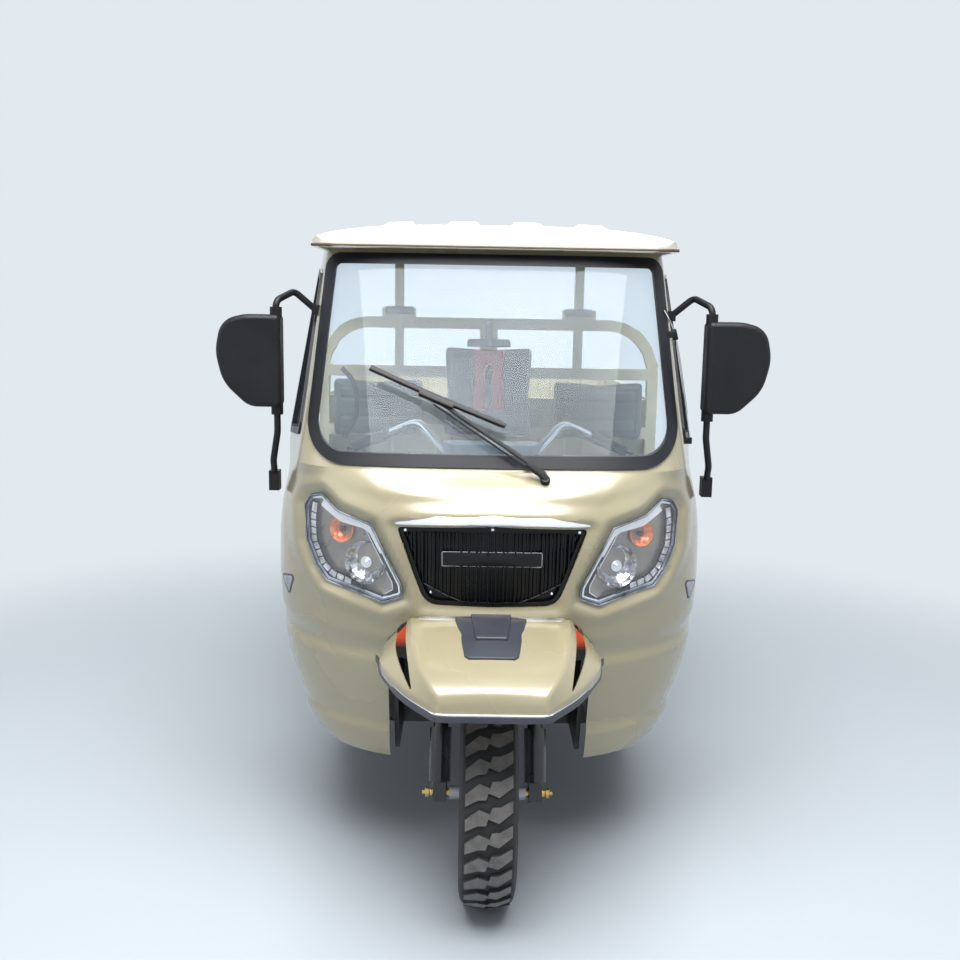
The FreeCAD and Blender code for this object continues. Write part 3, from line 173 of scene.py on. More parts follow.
def baked(made):
    # the mesh that the object's modifiers give
    graph = bpy.context.evaluated_depsgraph_get()
    return bpy.data.meshes.new_from_object(made.evaluated_get(graph))


def meshOf(name, points, faces, weld=0.0):
    # a mesh whose faces look outward; points closer than the weld become one
    mesh = bpy.data.meshes.new(name)
    mesh.from_pydata(points.tolist(), [], faces)
    work = bmesh.new()
    work.from_mesh(mesh)
    if weld:
        bmesh.ops.remove_doubles(work, verts=work.verts, dist=weld)
    bmesh.ops.recalc_face_normals(work, faces=work.faces)
    work.to_mesh(mesh)
    work.free()
    return mesh


def piece(name, shape, finishName, body="chassis", smooth=35, bevel=0.0, replaces=()):
    # puts a shape into the scene, rounds its edges if asked, and lets it ride on a body
    mesh = meshOf(name, np.round(shape[0], 6), shape[1], 0.00002)
    mesh.materials.append(finishes[finishName])
    mesh.polygons.foreach_set("use_smooth", np.full(len(mesh.polygons), smooth > 0))
    made = bpy.data.objects.new(name, mesh)
    scene.collection.objects.link(made)
    if smooth > 0:
        mesh.set_sharp_from_angle(angle=math.radians(smooth))
    if bevel:
        rounding = made.modifiers.new("Bevel", "BEVEL")
        rounding.width, rounding.segments, rounding.limit_method = bevel, 2, "ANGLE"
        rounding.angle_limit, rounding.harden_normals = math.radians(40), False
    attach(made, body)
    if replaces:
        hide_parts(*replaces)
    return made


# Finishes

def tint(red, green, blue):
    # a colour read off a screen, 0 to 255, turned to the linear light that the renderer counts in
    levels = np.array([red, green, blue]) / 255.0
    return tuple(np.where(levels <= 0.04045, levels / 12.92, ((levels + 0.055) / 1.055) ** 2.4)) + (1.0,)


def node(tree, kind, **values):
    # adds a shader node; names with an underscore first are its own settings, the rest are sockets
    made = tree.nodes.new("ShaderNode" + kind)
    for key, value in values.items():
        if key.startswith("_"):
            setattr(made, key[1:], value)
        elif hasattr(value, "node"):
            tree.links.new(value, made.inputs[key.replace("-", " ")])
        else:
            made.inputs[key].default_value = value
    return made


def plainFinish(name, color, **sockets):
    made = bpy.data.materials.new(name)
    made.use_nodes = True
    shader = made.node_tree.nodes["Principled BSDF"]
    shader.inputs["Base Color"].default_value = color
    for key, value in sockets.items():
        shader.inputs[key.replace("_", " ")].default_value = value
    return made, made.node_tree, shader


def ranged(tree, value, start, end, low=0.0, high=1.0, **settings):
    # the stretch of a value from start to end becomes low to high
    made = node(tree, "MapRange", Value=value, **settings)
    for socket, level in zip(("From Min", "From Max", "To Min", "To Max"), (start, end, low, high)):
        made.inputs[socket].default_value = level
    return made.outputs["Result"]


def blended(tree, share, low, high):
    # mixes two colours by a share; each may come from another node
    made = node(tree, "Mix", _data_type="RGBA")
    for number, value in ((0, share), (6, low), (7, high)):
        if hasattr(value, "node"):
            tree.links.new(value, made.inputs[number])
        else:
            made.inputs[number].default_value = value
    return made.outputs[2]


def workedFinish(name, dark, light, roughLow, roughHigh, grain, depth, patch=6.0, wear=0.0, wearColor=None, **sockets):
    # colour drifts between two tones in broad patches, roughness drifts with it, and a fine grain lifts the surface
    dark, light = tint(*dark), tint(*light)
    made, tree, shader = plainFinish(name, light, **sockets)
    place = node(tree, "TexCoord").outputs["Object"]
    broad = node(tree, "TexNoise", Vector=place, Scale=patch, Detail=5.0, Roughness=0.6).outputs["Fac"]
    color = blended(tree, ranged(tree, broad, 0.32, 0.68), dark, light)
    fine = node(tree, "TexNoise", Vector=place, Scale=grain, Detail=3.0).outputs["Fac"]
    if wear:
        spots = node(tree, "TexNoise", Vector=place, Scale=patch * 5, Detail=8.0, Roughness=0.75).outputs["Fac"]
        color = blended(tree, ranged(tree, spots, 0.66 - wear, 0.70), color, tint(*wearColor))
    tree.links.new(color, shader.inputs["Base Color"])
    tree.links.new(ranged(tree, broad, 0.3, 0.7, roughLow, roughHigh), shader.inputs["Roughness"])
    bump = node(tree, "Bump", Height=fine, Strength=0.5, Distance=depth)
    tree.links.new(bump.outputs["Normal"], shader.inputs["Normal"])
    return made


def glassFinish(name, color, rough, film=0.0, index=1.45):
    # clear and thin; in broad patches a little of it turns to a pale diffuse veil
    made, tree, shader = plainFinish(name, color, Roughness=rough, IOR=index)
    shader.inputs["Transmission Weight"].default_value = 1.0
    if film:
        place = node(tree, "TexCoord").outputs["Object"]
        haze = node(tree, "TexNoise", Vector=place, Scale=2.5, Detail=3.0).outputs["Fac"]
        tree.links.new(ranged(tree, haze, 0.3, 0.7, 1.0 - film, 1.0 - film * 0.4), shader.inputs["Transmission Weight"])
    return made


def paintFinish(name, dark, light):
    # metallic flakes under a clear coat: tiny cells each tilt a little, and the tone drifts softly
    made, tree, shader = plainFinish(name, light, Metallic=0.06, Coat_Weight=0.7, Coat_Roughness=0.14)
    place = node(tree, "TexCoord").outputs["Object"]
    flakes = node(tree, "TexVoronoi", Vector=place, Scale=1600.0).outputs["Color"]
    drift = node(tree, "TexNoise", Vector=place, Scale=3.0, Detail=3.0).outputs["Fac"]
    tree.links.new(blended(tree, drift, dark, light), shader.inputs["Base Color"])
    tree.links.new(ranged(tree, drift, 0.3, 0.7, 0.24, 0.31), shader.inputs["Roughness"])
    bump = node(tree, "Bump", Height=flakes, Strength=0.10, Distance=0.0004)
    tree.links.new(bump.outputs["Normal"], shader.inputs["Normal"])
    return made


def gradedFinish(name, low, high, start, end):
    # one colour below a height and another above, blended between, with a speckled edge
    made, tree, shader = plainFinish(name, high, Roughness=0.4)
    height = node(tree, "SeparateXYZ", Vector=node(tree, "TexCoord").outputs["Object"]).outputs["Z"]
    speck = node(tree, "TexNoise", Scale=90.0).outputs["Fac"]
    lifted = node(tree, "Math", _operation="MULTIPLY_ADD")
    tree.links.new(speck, lifted.inputs[0])
    lifted.inputs[1].default_value = 0.01
    tree.links.new(height, lifted.inputs[2])
    tree.links.new(blended(tree, ranged(tree, lifted.outputs[0], start, end), low, high), shader.inputs["Base Color"])
    return made


print("finishes")
# material, dark and light tone, least and most roughness, how fine the grain is, its depth, and further settings
workedRows = {
    "boxPaint": ("paintBox", (170, 160, 127), (186, 176, 143), 0.32, 0.45, 300, 0.0006,
                 dict(Coat_Weight=0.4, Coat_Roughness=0.2)),
    "hoopPaint": ("paintHoop", (176, 168, 138), (196, 188, 158), 0.35, 0.5, 260, 0.0006,
                  dict(Coat_Weight=0.3, Coat_Roughness=0.25)),
    "chassisPaint": ("paintChassis", (17, 18, 20), (30, 31, 33), 0.38, 0.6, 180, 0.0012,
                     dict(wear=0.03, wearColor=(74, 66, 58))),
    "blackPlastic": ("plasticBlack", (13, 14, 17), (21, 22, 26), 0.34, 0.48, 900, 0.0005, dict(Specular_IOR_Level=0.3)),
    "glossBlack": ("plasticGloss", (6, 7, 9), (12, 13, 16), 0.2, 0.32, 600, 0.0002, dict(Specular_IOR_Level=0.3)),
    "greyPlastic": ("plasticGrey", (48, 51, 60), (58, 62, 72), 0.4, 0.52, 700, 0.0005),
    "podPlastic": ("plasticPod", (58, 76, 88), (70, 90, 103), 0.42, 0.55, 800, 0.0005),
    "rubber": ("rubberSeal", (15, 17, 21), (26, 28, 34), 0.36, 0.48, 500, 0.0004, dict(Specular_IOR_Level=0.3)),
    "tyreSide": ("rubberTyre", (27, 28, 30), (42, 42, 43), 0.6, 0.8, 420, 0.0008,
                 dict(wear=0.05, wearColor=(78, 75, 71))),
    "treadTop": ("rubberTread", (92, 90, 88), (122, 119, 116), 0.75, 0.92, 900, 0.0010,
                 dict(patch=30, wear=0.08, wearColor=(60, 58, 57))),
    "chrome": ("chromePlate", (226, 228, 232), (242, 243, 246), 0.04, 0.12, 60, 0.0001, dict(Metallic=1.0)),
    "reflector": ("reflectorBed", (128, 123, 116), (156, 150, 142), 0.26, 0.4, 500, 0.0003, dict(Metallic=0.55)),
    "amber": ("plasticAmber", (214, 84, 8), (244, 168, 112), 0.12, 0.2, 200, 0.0004,
              dict(patch=90, Metallic=0.35, Coat_Weight=0.6)),
    "redLens": ("plasticRed", (150, 14, 14), (196, 26, 22), 0.12, 0.22, 220, 0.0006,
                dict(Transmission_Weight=0.35, Coat_Weight=0.6)),
    "orangePaint": ("paintOrange", (196, 66, 34), (226, 92, 52), 0.35, 0.5, 200, 0.0004),
    "seatVinyl": ("vinylGrey", (56, 64, 68), (74, 82, 86), 0.42, 0.56, 520, 0.0012),
    "panelVinyl": ("vinylGreen", (52, 57, 56), (68, 74, 72), 0.46, 0.6, 520, 0.0010),
    "castMetal": ("metalCast", (118, 119, 120), (152, 152, 151), 0.42, 0.65, 260, 0.0016,
                  dict(Metallic=0.8, wear=0.05, wearColor=(86, 78, 68))),
    "steel": ("metalSteel", (96, 97, 99), (136, 137, 139), 0.32, 0.5, 220, 0.0010,
              dict(Metallic=0.9, wear=0.05, wearColor=(96, 78, 62))),
    "springSteel": ("metalSpring", (32, 33, 35), (50, 50, 51), 0.42, 0.62, 240, 0.0012,
                    dict(Metallic=0.4, wear=0.05, wearColor=(90, 72, 58))),
    "zinc": ("metalZinc", (196, 158, 84), (226, 196, 128), 0.24, 0.38, 240, 0.0006, dict(Metallic=0.9)),
    "rimPaint": ("paintRim", (150, 152, 155), (178, 180, 183), 0.3, 0.42, 240, 0.0006,
                 dict(Metallic=0.55, Coat_Weight=0.4, Coat_Roughness=0.2)),
    "floorPaint": ("paintFloor", (44, 46, 48), (62, 64, 66), 0.5, 0.7, 200, 0.0014,
                   dict(wear=0.06, wearColor=(104, 99, 90))),
    "lampClear": ("lampLens", (236, 242, 250), (246, 249, 253), 0.02, 0.05, 40, 0.0001,
                  dict(Alpha=0.07, Coat_Weight=0.5)),
    # clear lens edges coloured in patches from dark blue to near white: painted reflections
    "lensEdgePaintedReflections": ("lampLensEdgePaintedReflections", (58, 70, 92), (190, 202, 220), 0.04, 0.10, 60, 0.0001,
                 dict(patch=22, Alpha=0.8, Coat_Weight=1.0)),
    "lampWhite": ("reflectorLip", (232, 234, 240), (250, 251, 253), 0.12, 0.2, 120, 0.0001, dict(Metallic=0.25)),
    "lampCell": ("reflectorCell", (150, 152, 158), (244, 245, 248), 0.06, 0.16, 400, 0.0004,
                 dict(patch=60, Metallic=0.5)),
    # reflector facets coloured in patches from near black to near white: painted reflections
    "facetPaintedReflections": ("reflectorFacetPaintedReflections", (24, 26, 32), (236, 238, 244), 0.05, 0.12, 200, 0.0002, dict(patch=60, Metallic=0.9)),
    "turnBulb": ("bulbRed", (96, 26, 16), (138, 44, 26), 0.1, 0.2, 200, 0.0002, dict(Transmission_Weight=0.3)),
    "finBlack": ("plasticFin", (4, 5, 7), (12, 13, 17), 0.2, 0.34, 500, 0.0002, dict(Specular_IOR_Level=0.3)),
    "badgeEdge": ("badgeLine", (168, 172, 178), (198, 201, 206), 0.3, 0.4, 300, 0.0001),
    "edgeGrey": ("plasticEdge", (54, 56, 64), (70, 72, 80), 0.32, 0.45, 600, 0.0004),
    "stripeVinyl": ("vinylRed", (150, 22, 30), (184, 36, 42), 0.4, 0.52, 520, 0.0010),
    "lipBrown": ("lipBrown", (62, 46, 34), (92, 70, 52), 0.4, 0.55, 300, 0.0004),
    "stripMetal": ("stripMetal", (232, 234, 238), (248, 249, 251), 0.10, 0.18, 60, 0.0001, dict(Metallic=0.6)),
    "forkBlack": ("paintFork", (12, 13, 16), (22, 23, 27), 0.22, 0.36, 200, 0.0006, dict(Coat_Weight=0.5)),
}
finishes = {name: workedFinish(*row[:7], **dict(*row[7:])) for name, row in workedRows.items()}
finishes["paint"] = paintFinish("paintChampagne", tint(152, 143, 114), tint(167, 159, 131))
# the roof's paint is the champagne paint lightened to near white: painted light from the top lamp, a lit copy of the
# body paint
finishes["roofPaintedLight"] = paintFinish("paintRoofPaintedLight", tint(206, 202, 186), tint(219, 215, 201))
finishes["glass"] = glassFinish("glassPane", tint(226, 236, 243), 0.0, film=0.10, index=1.2)
finishes["lampGlass"] = glassFinish("glassLamp", tint(250, 251, 252), 0.0, index=1.4)
# the liner seen through the nose slots: near black below a height and orange above; the black is painted shade inside
# the slot, and the orange is lightened to make up for the shade it lies in
finishes["linerPaintedShade"] = gradedFinish("paintLinerPaintedShade", tint(14, 12, 12), tint(226, 82, 42), 0.686, 0.712)

nodeFinishes = {
    "paint": ["front_cowl", "cab_pillars", "nose_fender"],
    "roofPaintedLight": ["roof_panel"],
    "boxPaint": ["box_front_wall", "box_wall_left", "box_wall_right", "tailgate", "seat_base", "cargo_floor"],
    "hoopPaint": ["rear_hoop"],
    "forkBlack": ["front_fork"],
    "chassisPaint": ["chassis_frame", "wheel_house", "rear_axle", "propeller_shaft", "gate_hinges",
                     "tow_lug"],
    "floorPaint": ["floor_pan"],
    "blackPlastic": ["mirror_arms", "mirror_heads", "wiper", "battery", "fuel_tank", "grille"],
    "greyPlastic": ["nose_trim"],
    "podPlastic": ["instrument_pod"],
    "rubber": ["windscreen_seal", "quarter_seals", "mud_flaps", "grips"],
    "chrome": ["grille_strip", "handlebar"],
    "reflector": ["headlamp_bodies"],
    "redLens": ["tail_lamps"],
    "castMetal": ["engine"],
    "steel": ["exhaust"],
    "springSteel": ["leaf_springs"],
    "zinc": ["front_axle"],
    "rimPaint": ["rim_front", "rim_rear_left", "rim_rear_right"],
    "glass": ["windscreen_glass", "quarter_glass"],
    "lampGlass": ["headlamp_lenses"],
    "seatVinyl": ["driver_backrest", "driver_cushion"],
    "panelVinyl": ["passenger_backrest_left", "passenger_backrest_right", "passenger_cushion_left",
                   "passenger_cushion_right"],
    "tyreSide": ["tyre_front", "tyre_rear_left", "tyre_rear_right"],
}
for finishName, nodeNames in nodeFinishes.items():
    for nodeName in nodeNames:
        nodes[nodeName].data.materials.clear()
        nodes[nodeName].data.materials.append(finishes[finishName])


# The front body's skin, so that lamps and trim lie on it

belt = 1.128
flankEnd = 0.640
# height, front of the section, half width at the corner, where the corner ends, half width behind, squareness
bodyStations = np.array([
    (0.321, 0.110, 0.470, 0.380, 0.485, 2.4),
    (0.400, 0.075, 0.520, 0.400, 0.535, 2.3),
    (0.540, 0.025, 0.575, 0.420, 0.585, 2.2),
    (0.675, -0.015, 0.598, 0.430, 0.604, 2.1),
    (0.850, -0.050, 0.604, 0.430, 0.610, 2.1),
    (1.000, -0.062, 0.590, 0.400, 0.614, 2.3),
    (1.082, -0.022, 0.560, 0.330, 0.615, 2.7),
    (1.128, 0.035, 0.527, 0.230, 0.614, 3.3),
])
headerStation = (1.690, 0.337, 0.468, 0.430, 0.505, 3.6)
reliefSizes = {
    "recess": 0.009, "ridge": 0.006, "ridgeReach": 0.027, "reach": 0.066,      # round the lamps and the grille
    "creaseHeight": 1.082, "creaseHalf": 0.026, "creaseLift": 0.004,          # fold across the scuttle
    "creaseBend": 0.285, "creaseSlope": 0.7,                                  # where it turns up, and how steeply
    "groove": (0.705, 0.650, 0.616), "grooveDepth": 0.010,                    # waist above the leg shields
    "step": (0.404, 0.434), "stepLift": 0.011, "roll": (0.318, 0.350), "rollDepth": 0.009,
    "topFade": 0.05, "flankFade": (0.330, 0.430),                             # where the relief runs out
}


def eased(value, start, end):
    # rises from 0 at the start to 1 at the end, level at both
    t = np.clip((value - start) / (end - start), 0, 1)
    return t * t * (3 - 2 * t)


def between(table, place):
    # each column at a place: a cubic between rows, whose slope at a row is the mean of the slopes beside it
    rise = np.diff(table[:, 1:], axis=0) / np.diff(table[:, :1], axis=0)
    slope = np.concatenate([rise[:1], (rise[1:] + rise[:-1]) / 2, rise[-1:]])
    row = np.clip(np.searchsorted(table[:, 0], place, side="right") - 1, 0, len(table) - 2)
    span = (table[row + 1, 0] - table[row, 0])[..., None]
    t = (place - table[row, 0])[..., None] / span
    bow = (1 - t) * (slope[row] - rise[row]) - t * (slope[row + 1] - rise[row])
    values = table[row, 1:] * (1 - t) + table[row + 1, 1:] * t + t * (1 - t) * span * bow
    return np.moveaxis(values, -1, 0)


def bodyValues(z):
    z = np.asarray(z, float)
    upper = np.array([bodyStations[-1], headerStation])
    return np.where(z <= belt, between(bodyStations, np.minimum(z, belt)), between(upper, np.maximum(z, belt)))


def bodyFront(x, z):
    # how far back the plain skin lies: a superellipse across the nose, on flanks that widen to the rear
    x, z = np.broadcast_arrays(np.abs(np.asarray(x, float)), np.asarray(z, float))
    front, cornerHalf, cornerEnd, rearHalf, square = bodyValues(z)
    y = front
    for _ in range(5):
        half = cornerHalf - (rearHalf - cornerHalf) / (flankEnd - cornerEnd) * (cornerEnd - y)
        y = cornerEnd - (cornerEnd - front) * (1 - np.clip(x / half, 0, 0.9995) ** square) ** (1 / square)
    return y + axleY


def bodySide(y, z):
    # half width of the plain skin at a distance behind the axle line and a height
    front, cornerHalf, cornerEnd, rearHalf, square = bodyValues(z)
    share = np.clip((cornerEnd - y) / (cornerEnd - front), 0, 1)
    half = cornerHalf + (rearHalf - cornerHalf) / (flankEnd - cornerEnd) * (y - cornerEnd)
    return half * (1 - share ** square) ** (1 / square)


def onBody(line, depth):
    # lays front-view (across, up) pairs at a depth under the plain skin
    line = np.asarray(line, float)
    return np.stack([line[..., 0], bodyFront(line[..., 0], line[..., 1]) + depth, line[..., 1]], -1)


def filleted(line, radius, steps=6, closed=True):
    # each corner becomes a curve that leaves its sides where a circle of that radius would touch them
    line = np.asarray(line, float)
    radius = np.broadcast_to(np.asarray(radius, float), (len(line),))[:, None]
    before, after = np.roll(line, 1, 0) - line, np.roll(line, -1, 0) - line
    spanBefore, spanAfter = [np.linalg.norm(way, axis=1, keepdims=True) for way in (before, after)]
    before, after = before / spanBefore, after / spanAfter
    corner = np.arccos(np.clip(np.sum(before * after, 1, keepdims=True), -0.9999, 0.9999))
    reach = np.minimum(radius / np.tan(corner / 2), 0.48 * np.minimum(spanBefore, spanAfter))
    t = np.linspace(0, 1, steps)[None, :, None]
    curve = ((line + before * reach)[:, None] * (1 - t) ** 2 + 2 * line[:, None] * t * (1 - t)
             + (line + after * reach)[:, None] * t ** 2)
    if closed:
        return curve.reshape(-1, line.shape[1])
    return np.concatenate([line[:1], curve[1:-1].reshape(-1, line.shape[1]), line[-1:]])


def shrunk(line, amount):
    # moves a closed line inward, square to itself
    way = np.roll(line, -1, 0) - np.roll(line, 1, 0)
    way /= np.linalg.norm(way, axis=1, keepdims=True)
    area = np.sum(line[:, 0] * np.roll(line[:, 1], -1) - np.roll(line[:, 0], -1) * line[:, 1])
    inward = np.stack([-way[:, 1], way[:, 0]], -1) * (1 if area > 0 else -1)
    return line + inward * amount


def wholeOutline(rightHalf):
    # a front-view outline from its right half, whose ends lie on the middle
    rightHalf = np.asarray(rightHalf, float)
    return np.concatenate([rightHalf, rightHalf[rightHalf[:, 0] > 0][::-1] * (-1, 1)])


lampCorners = np.array([
    (0.478, 1.046), (0.495, 1.018), (0.490, 0.925), (0.462, 0.862), (0.430, 0.824), (0.276, 0.789),
    (0.222, 0.812), (0.224, 0.842), (0.284, 0.962), (0.302, 0.998), (0.392, 1.022), (0.440, 1.058)])
grilleCorners = wholeOutline([(0, 0.794), (0.166, 0.796), (0.192, 0.864), (0.238, 0.997), (0, 1.006)])
grilleRadii = [0.2, 0.060, 0.060, 0.010, 0.2, 0.010, 0.060, 0.060]
lampOutline = filleted(lampCorners, 0.014)
grilleOutline = filleted(grilleCorners, grilleRadii, 9)
archCorners = wholeOutline([(0, 0.25), (0.264, 0.25), (0.264, 0.600), (0.284, 0.640), (0.262, 0.690), (0.226, 0.738),
                            (0.180, 0.768), (0, 0.776)])
archOutline = filleted(archCorners, 0.014, 5)


def outlineGap(outline, x, z):
    # how far each place lies outside a closed outline, 0 inside it
    start, end = outline, np.roll(outline, -1, 0)
    way = end - start
    px, pz = x[..., None] - start[:, 0], z[..., None] - start[:, 1]
    along = np.clip((px * way[:, 0] + pz * way[:, 1]) / np.sum(way ** 2, 1), 0, 1)
    gap = np.hypot(px - along * way[:, 0], pz - along * way[:, 1]).min(-1)
    crossed = (start[:, 1] > z[..., None]) != (end[:, 1] > z[..., None])
    tall = np.where(way[:, 1] == 0, 1, way[:, 1])
    inside = np.sum(crossed & (px < pz * way[:, 0] / tall), -1) % 2 == 1
    return np.where(inside, 0.0, gap)


def relief(x, z):
    # how far the skin stands out from the plain body: recess and ridge round each opening, fold, groove and steps
    size = reliefSizes
    x = np.abs(x)
    gap = np.minimum(outlineGap(lampCorners, x, z), outlineGap(grilleCorners, x, z))
    rise = size["ridge"] * (1 - eased(gap, size["ridgeReach"], size["reach"]))
    rise -= (size["recess"] + size["ridge"]) * (1 - eased(gap, 0, size["ridgeReach"]))
    foldHeight = size["creaseHeight"] + size["creaseSlope"] * np.maximum(x - size["creaseBend"], 0)
    fold = np.maximum(1 - np.abs(z - foldHeight) / size["creaseHalf"], 0)
    rise += size["creaseLift"] * fold * eased(gap, 0, size["reach"])
    top, deep, end = size["groove"]
    rise -= size["grooveDepth"] * (1 - eased(z, deep, top)) * eased(z, end, deep)
    rise += size["stepLift"] * (1 - eased(z, *size["step"]))
    rise -= size["rollDepth"] * (1 - eased(z, *size["roll"]))
    return rise * (1 - eased(z, belt - size["topFade"], belt))


def bodyRows(heights, count):
    # the plain plan section at each height, from the middle round the corner to the end of the flank
    front, cornerHalf, cornerEnd, rearHalf, square = [value[:, None] for value in bodyValues(heights)]
    turn = np.linspace(0, math.pi / 2, 120)[None]
    y = cornerEnd - (cornerEnd - front) * np.clip(np.cos(turn), 0, 1) ** (2 / square)
    half = cornerHalf - (rearHalf - cornerHalf) / (flankEnd - cornerEnd) * (cornerEnd - y)
    x = half * np.sin(turn) ** (2 / square)
    rows = np.concatenate([np.stack([x, y], -1),
                           np.stack([rearHalf, np.full_like(rearHalf, flankEnd)], -1)], 1)
    return np.array([respaced(row, count) for row in rows])


def shellShape(outer, inner):
    # two grids of one size, joined by a rim along their four sides
    rows, columns = outer.shape[:2]
    count = rows * columns
    number = np.arange(count).reshape(rows, columns)
    edge = np.concatenate([number[0], number[1:, -1], number[-1, -2::-1], number[-2:0:-1, 0]])
    after = np.roll(edge, -1)
    faces = gridFaces(rows, columns)
    faces += [[i + count for i in face[::-1]] for face in faces]
    faces += np.stack([edge, edge + count, after + count, after], -1).tolist()
    return np.concatenate([outer.reshape(-1, 3), inner.reshape(-1, 3)]), faces


def cowlShape(sheet=0.006, rows=116, count=112):
    # the relief moves the plain rows square to themselves; the inner side lies a sheet's thickness behind
    heights = np.linspace(0.321, belt, rows)
    right = bodyRows(heights, count)
    run = np.gradient(right, axis=1)
    run[:, 0] = (1, 0)
    out = np.stack([run[..., 1], -run[..., 0]], -1)
    out /= np.linalg.norm(out, axis=-1, keepdims=True)
    z = np.broadcast_to(heights[:, None], right.shape[:2])
    lift = relief(right[..., 0], z) * (1 - eased(right[..., 1], *reliefSizes["flankFade"]))
    outer = right + out * lift[..., None]
    grids = []
    for half in (outer, outer - out * sheet):
        half = np.stack([half[..., 0], half[..., 1] + axleY, z], -1)
        grids.append(np.concatenate([half[:, :0:-1] * (-1, 1, 1), half], 1))
    return shellShape(*grids)


def prismShape(outline, low, high):
    # a front-view outline carried from one depth to another
    def at(depth):
        return lambda line: np.stack([line[:, 0], np.full(len(line), depth + axleY), line[:, 1]], -1)
    return slabShape(outline, at(high), at(low))


def carved(made, cutters, sharp=32):
    # cuts closed shapes out of a piece
    for shape in cutters:
        mesh = meshOf("cutter", *shape)
        cutter = bpy.data.objects.new("cutter", mesh)
        scene.collection.objects.link(cutter)
        cutting = made.modifiers.new("Cut", "BOOLEAN")
        cutting.object, cutting.operation, cutting.solver = cutter, "DIFFERENCE", "EXACT"
        bpy.context.view_layer.update()
        result = baked(made)
        made.modifiers.remove(cutting)
        made.data = result
        bpy.data.objects.remove(cutter)
        bpy.data.meshes.remove(mesh)
    made.data.polygons.foreach_set("use_smooth", np.full(len(made.data.polygons), True))
    made.data.set_sharp_from_angle(angle=math.radians(sharp))


print("front body")
cowl = piece("frontPanel", cowlShape(), "paint", replaces=("front_cowl",))
cutSpan = {"grille": (-0.2, 0.12), "lamp": (-0.2, 0.32), "arch": (-0.2, 0.22)}
carved(cowl, [prismShape(grilleOutline, *cutSpan["grille"]), prismShape(lampOutline, *cutSpan["lamp"]),
              prismShape(lampOutline * (-1, 1), *cutSpan["lamp"]), prismShape(archOutline, *cutSpan["arch"])])


def plateShape(outline, middle, front, back, rings=10):
    # rings that shrink to the middle of an outline, on a front and a back surface that meet at the rim
    share = np.linspace(1.0, 0.002, rings)[:, None, None]
    flat = np.asarray(middle) + (np.asarray(outline) - middle) * share
    return gridShape(np.concatenate([front(flat)[::-1], back(flat)]), False, True, True)


def bodyPlate(outline, middle, front, back, rings=10, lay=onBody):
    return plateShape(outline, middle, lambda flat: lay(flat, front), lambda flat: lay(flat, back), rings)


def bodyRing(outer, inner, front, back, lay=onBody):
    # a closed band between two outlines, from one depth to another
    corners = [lay(outer, back), lay(outer, front), lay(inner, front), lay(inner, back)]
    return gridShape(np.stack(corners, 1), True, True)


def bodyRibbon(one, other, front, back):
    # an open band between two lines, closed at its ends
    corners = [onBody(one, back), onBody(one, front), onBody(other, front), onBody(other, back)]
    return gridShape(np.stack(corners, 1), False, True, True)


def alongside(line, amount):
    # an open line moved square to itself
    way = np.gradient(line, axis=0)
    way /= np.linalg.norm(way, axis=1, keepdims=True)
    return line + np.stack([-way[:, 1], way[:, 0]], -1) * amount


# Headlamps: bucket, satin bed, chrome rim, two bowls, light strip, white lip and clear lens

lamp = {
    "middle": (0.366, 0.915), "lens": (0.004, 0.008), "bed": 0.036, "bucket": 0.056,
    # a bowl's middle across and up, how far it turns outward in degrees, and its radius
    "mainBowl": (0.327, 0.893, 16.0, 0.054), "turnBowl": (0.393, 0.972, 22.0, 0.032), "tilt": 0.12,
    "bowlBack": 0.016, "bowlPower": 2.2,
    "bedShift": [(-0.004, 0)] * 6 + [(0.014, 0.004)] * 4 + [(0, 0)] * 2,      # how each corner of the bed is moved
    "lip": [(0.271, 0.925), (0.300, 0.980), (0.322, 0.994), (0.386, 1.003), (0.438, 1.034)],
    "strip": [(0.462, 1.026), (0.468, 0.985), (0.466, 0.925), (0.441, 0.868), (0.412, 0.842), (0.330, 0.823)],
    "cells": [0.026] + [0.017] * 7 + [0.019] * 4,                             # lengths of the light strip's cells
    "cap": [(0.0, -0.016), (0.005, -0.016), (0.006, -0.020), (0.010, -0.020), (0.011, -0.024), (0.015, -0.024),
            (0.016, -0.028), (0.016, -0.040), (0.011, -0.046), (0.0, -0.046)],
    "bulb": [(0.0, -0.014), (0.004, -0.015), (0.007, -0.019), (0.008, -0.024), (0.007, -0.034), (0.0, -0.036)],
}


def lampTurned(bowl, profile, sides=20):
    # a profile turned about the axis of a bowl
    x, z, turn, radius = bowl
    axis = np.array([math.sin(math.radians(turn)), -math.cos(math.radians(turn)), lamp["tilt"]])
    return turnedShape(profile, onBody([(x, z)], 0.0)[0], axis, sides)


def bowlShape(bowl, depth, wall=0.0025, sides=20):
    # a dish, rim forward
    share = np.linspace(0, 1, 7)
    dish = np.stack([bowl[3] * share, depth * share ** lamp["bowlPower"]], -1)
    outer = dish[::-1] + (wall, -wall)
    outer[-1, 0] = 0
    return lampTurned(bowl, np.concatenate([dish, outer]) + (0, -depth - lamp["bowlBack"]), sides)


def pathCells(path, lengths, width, front, back, gap=0.004):
    # small blocks one after another along a front-view path
    walked = np.concatenate([[0], np.cumsum(np.linalg.norm(np.diff(path, axis=0), axis=1))])
    starts = np.concatenate([[0], np.cumsum(np.asarray(lengths) + gap)])[:-1]
    shapes = []
    for start, length in zip(starts, lengths):
        steps = np.linspace(start, start + length, 4)
        line = np.stack([np.interp(steps, walked, path[:, i]) for i in (0, 1)], -1)
        shapes.append(bodyRibbon(alongside(line, width / 2), alongside(line, -width / 2), front, back))
    return merged(*shapes)


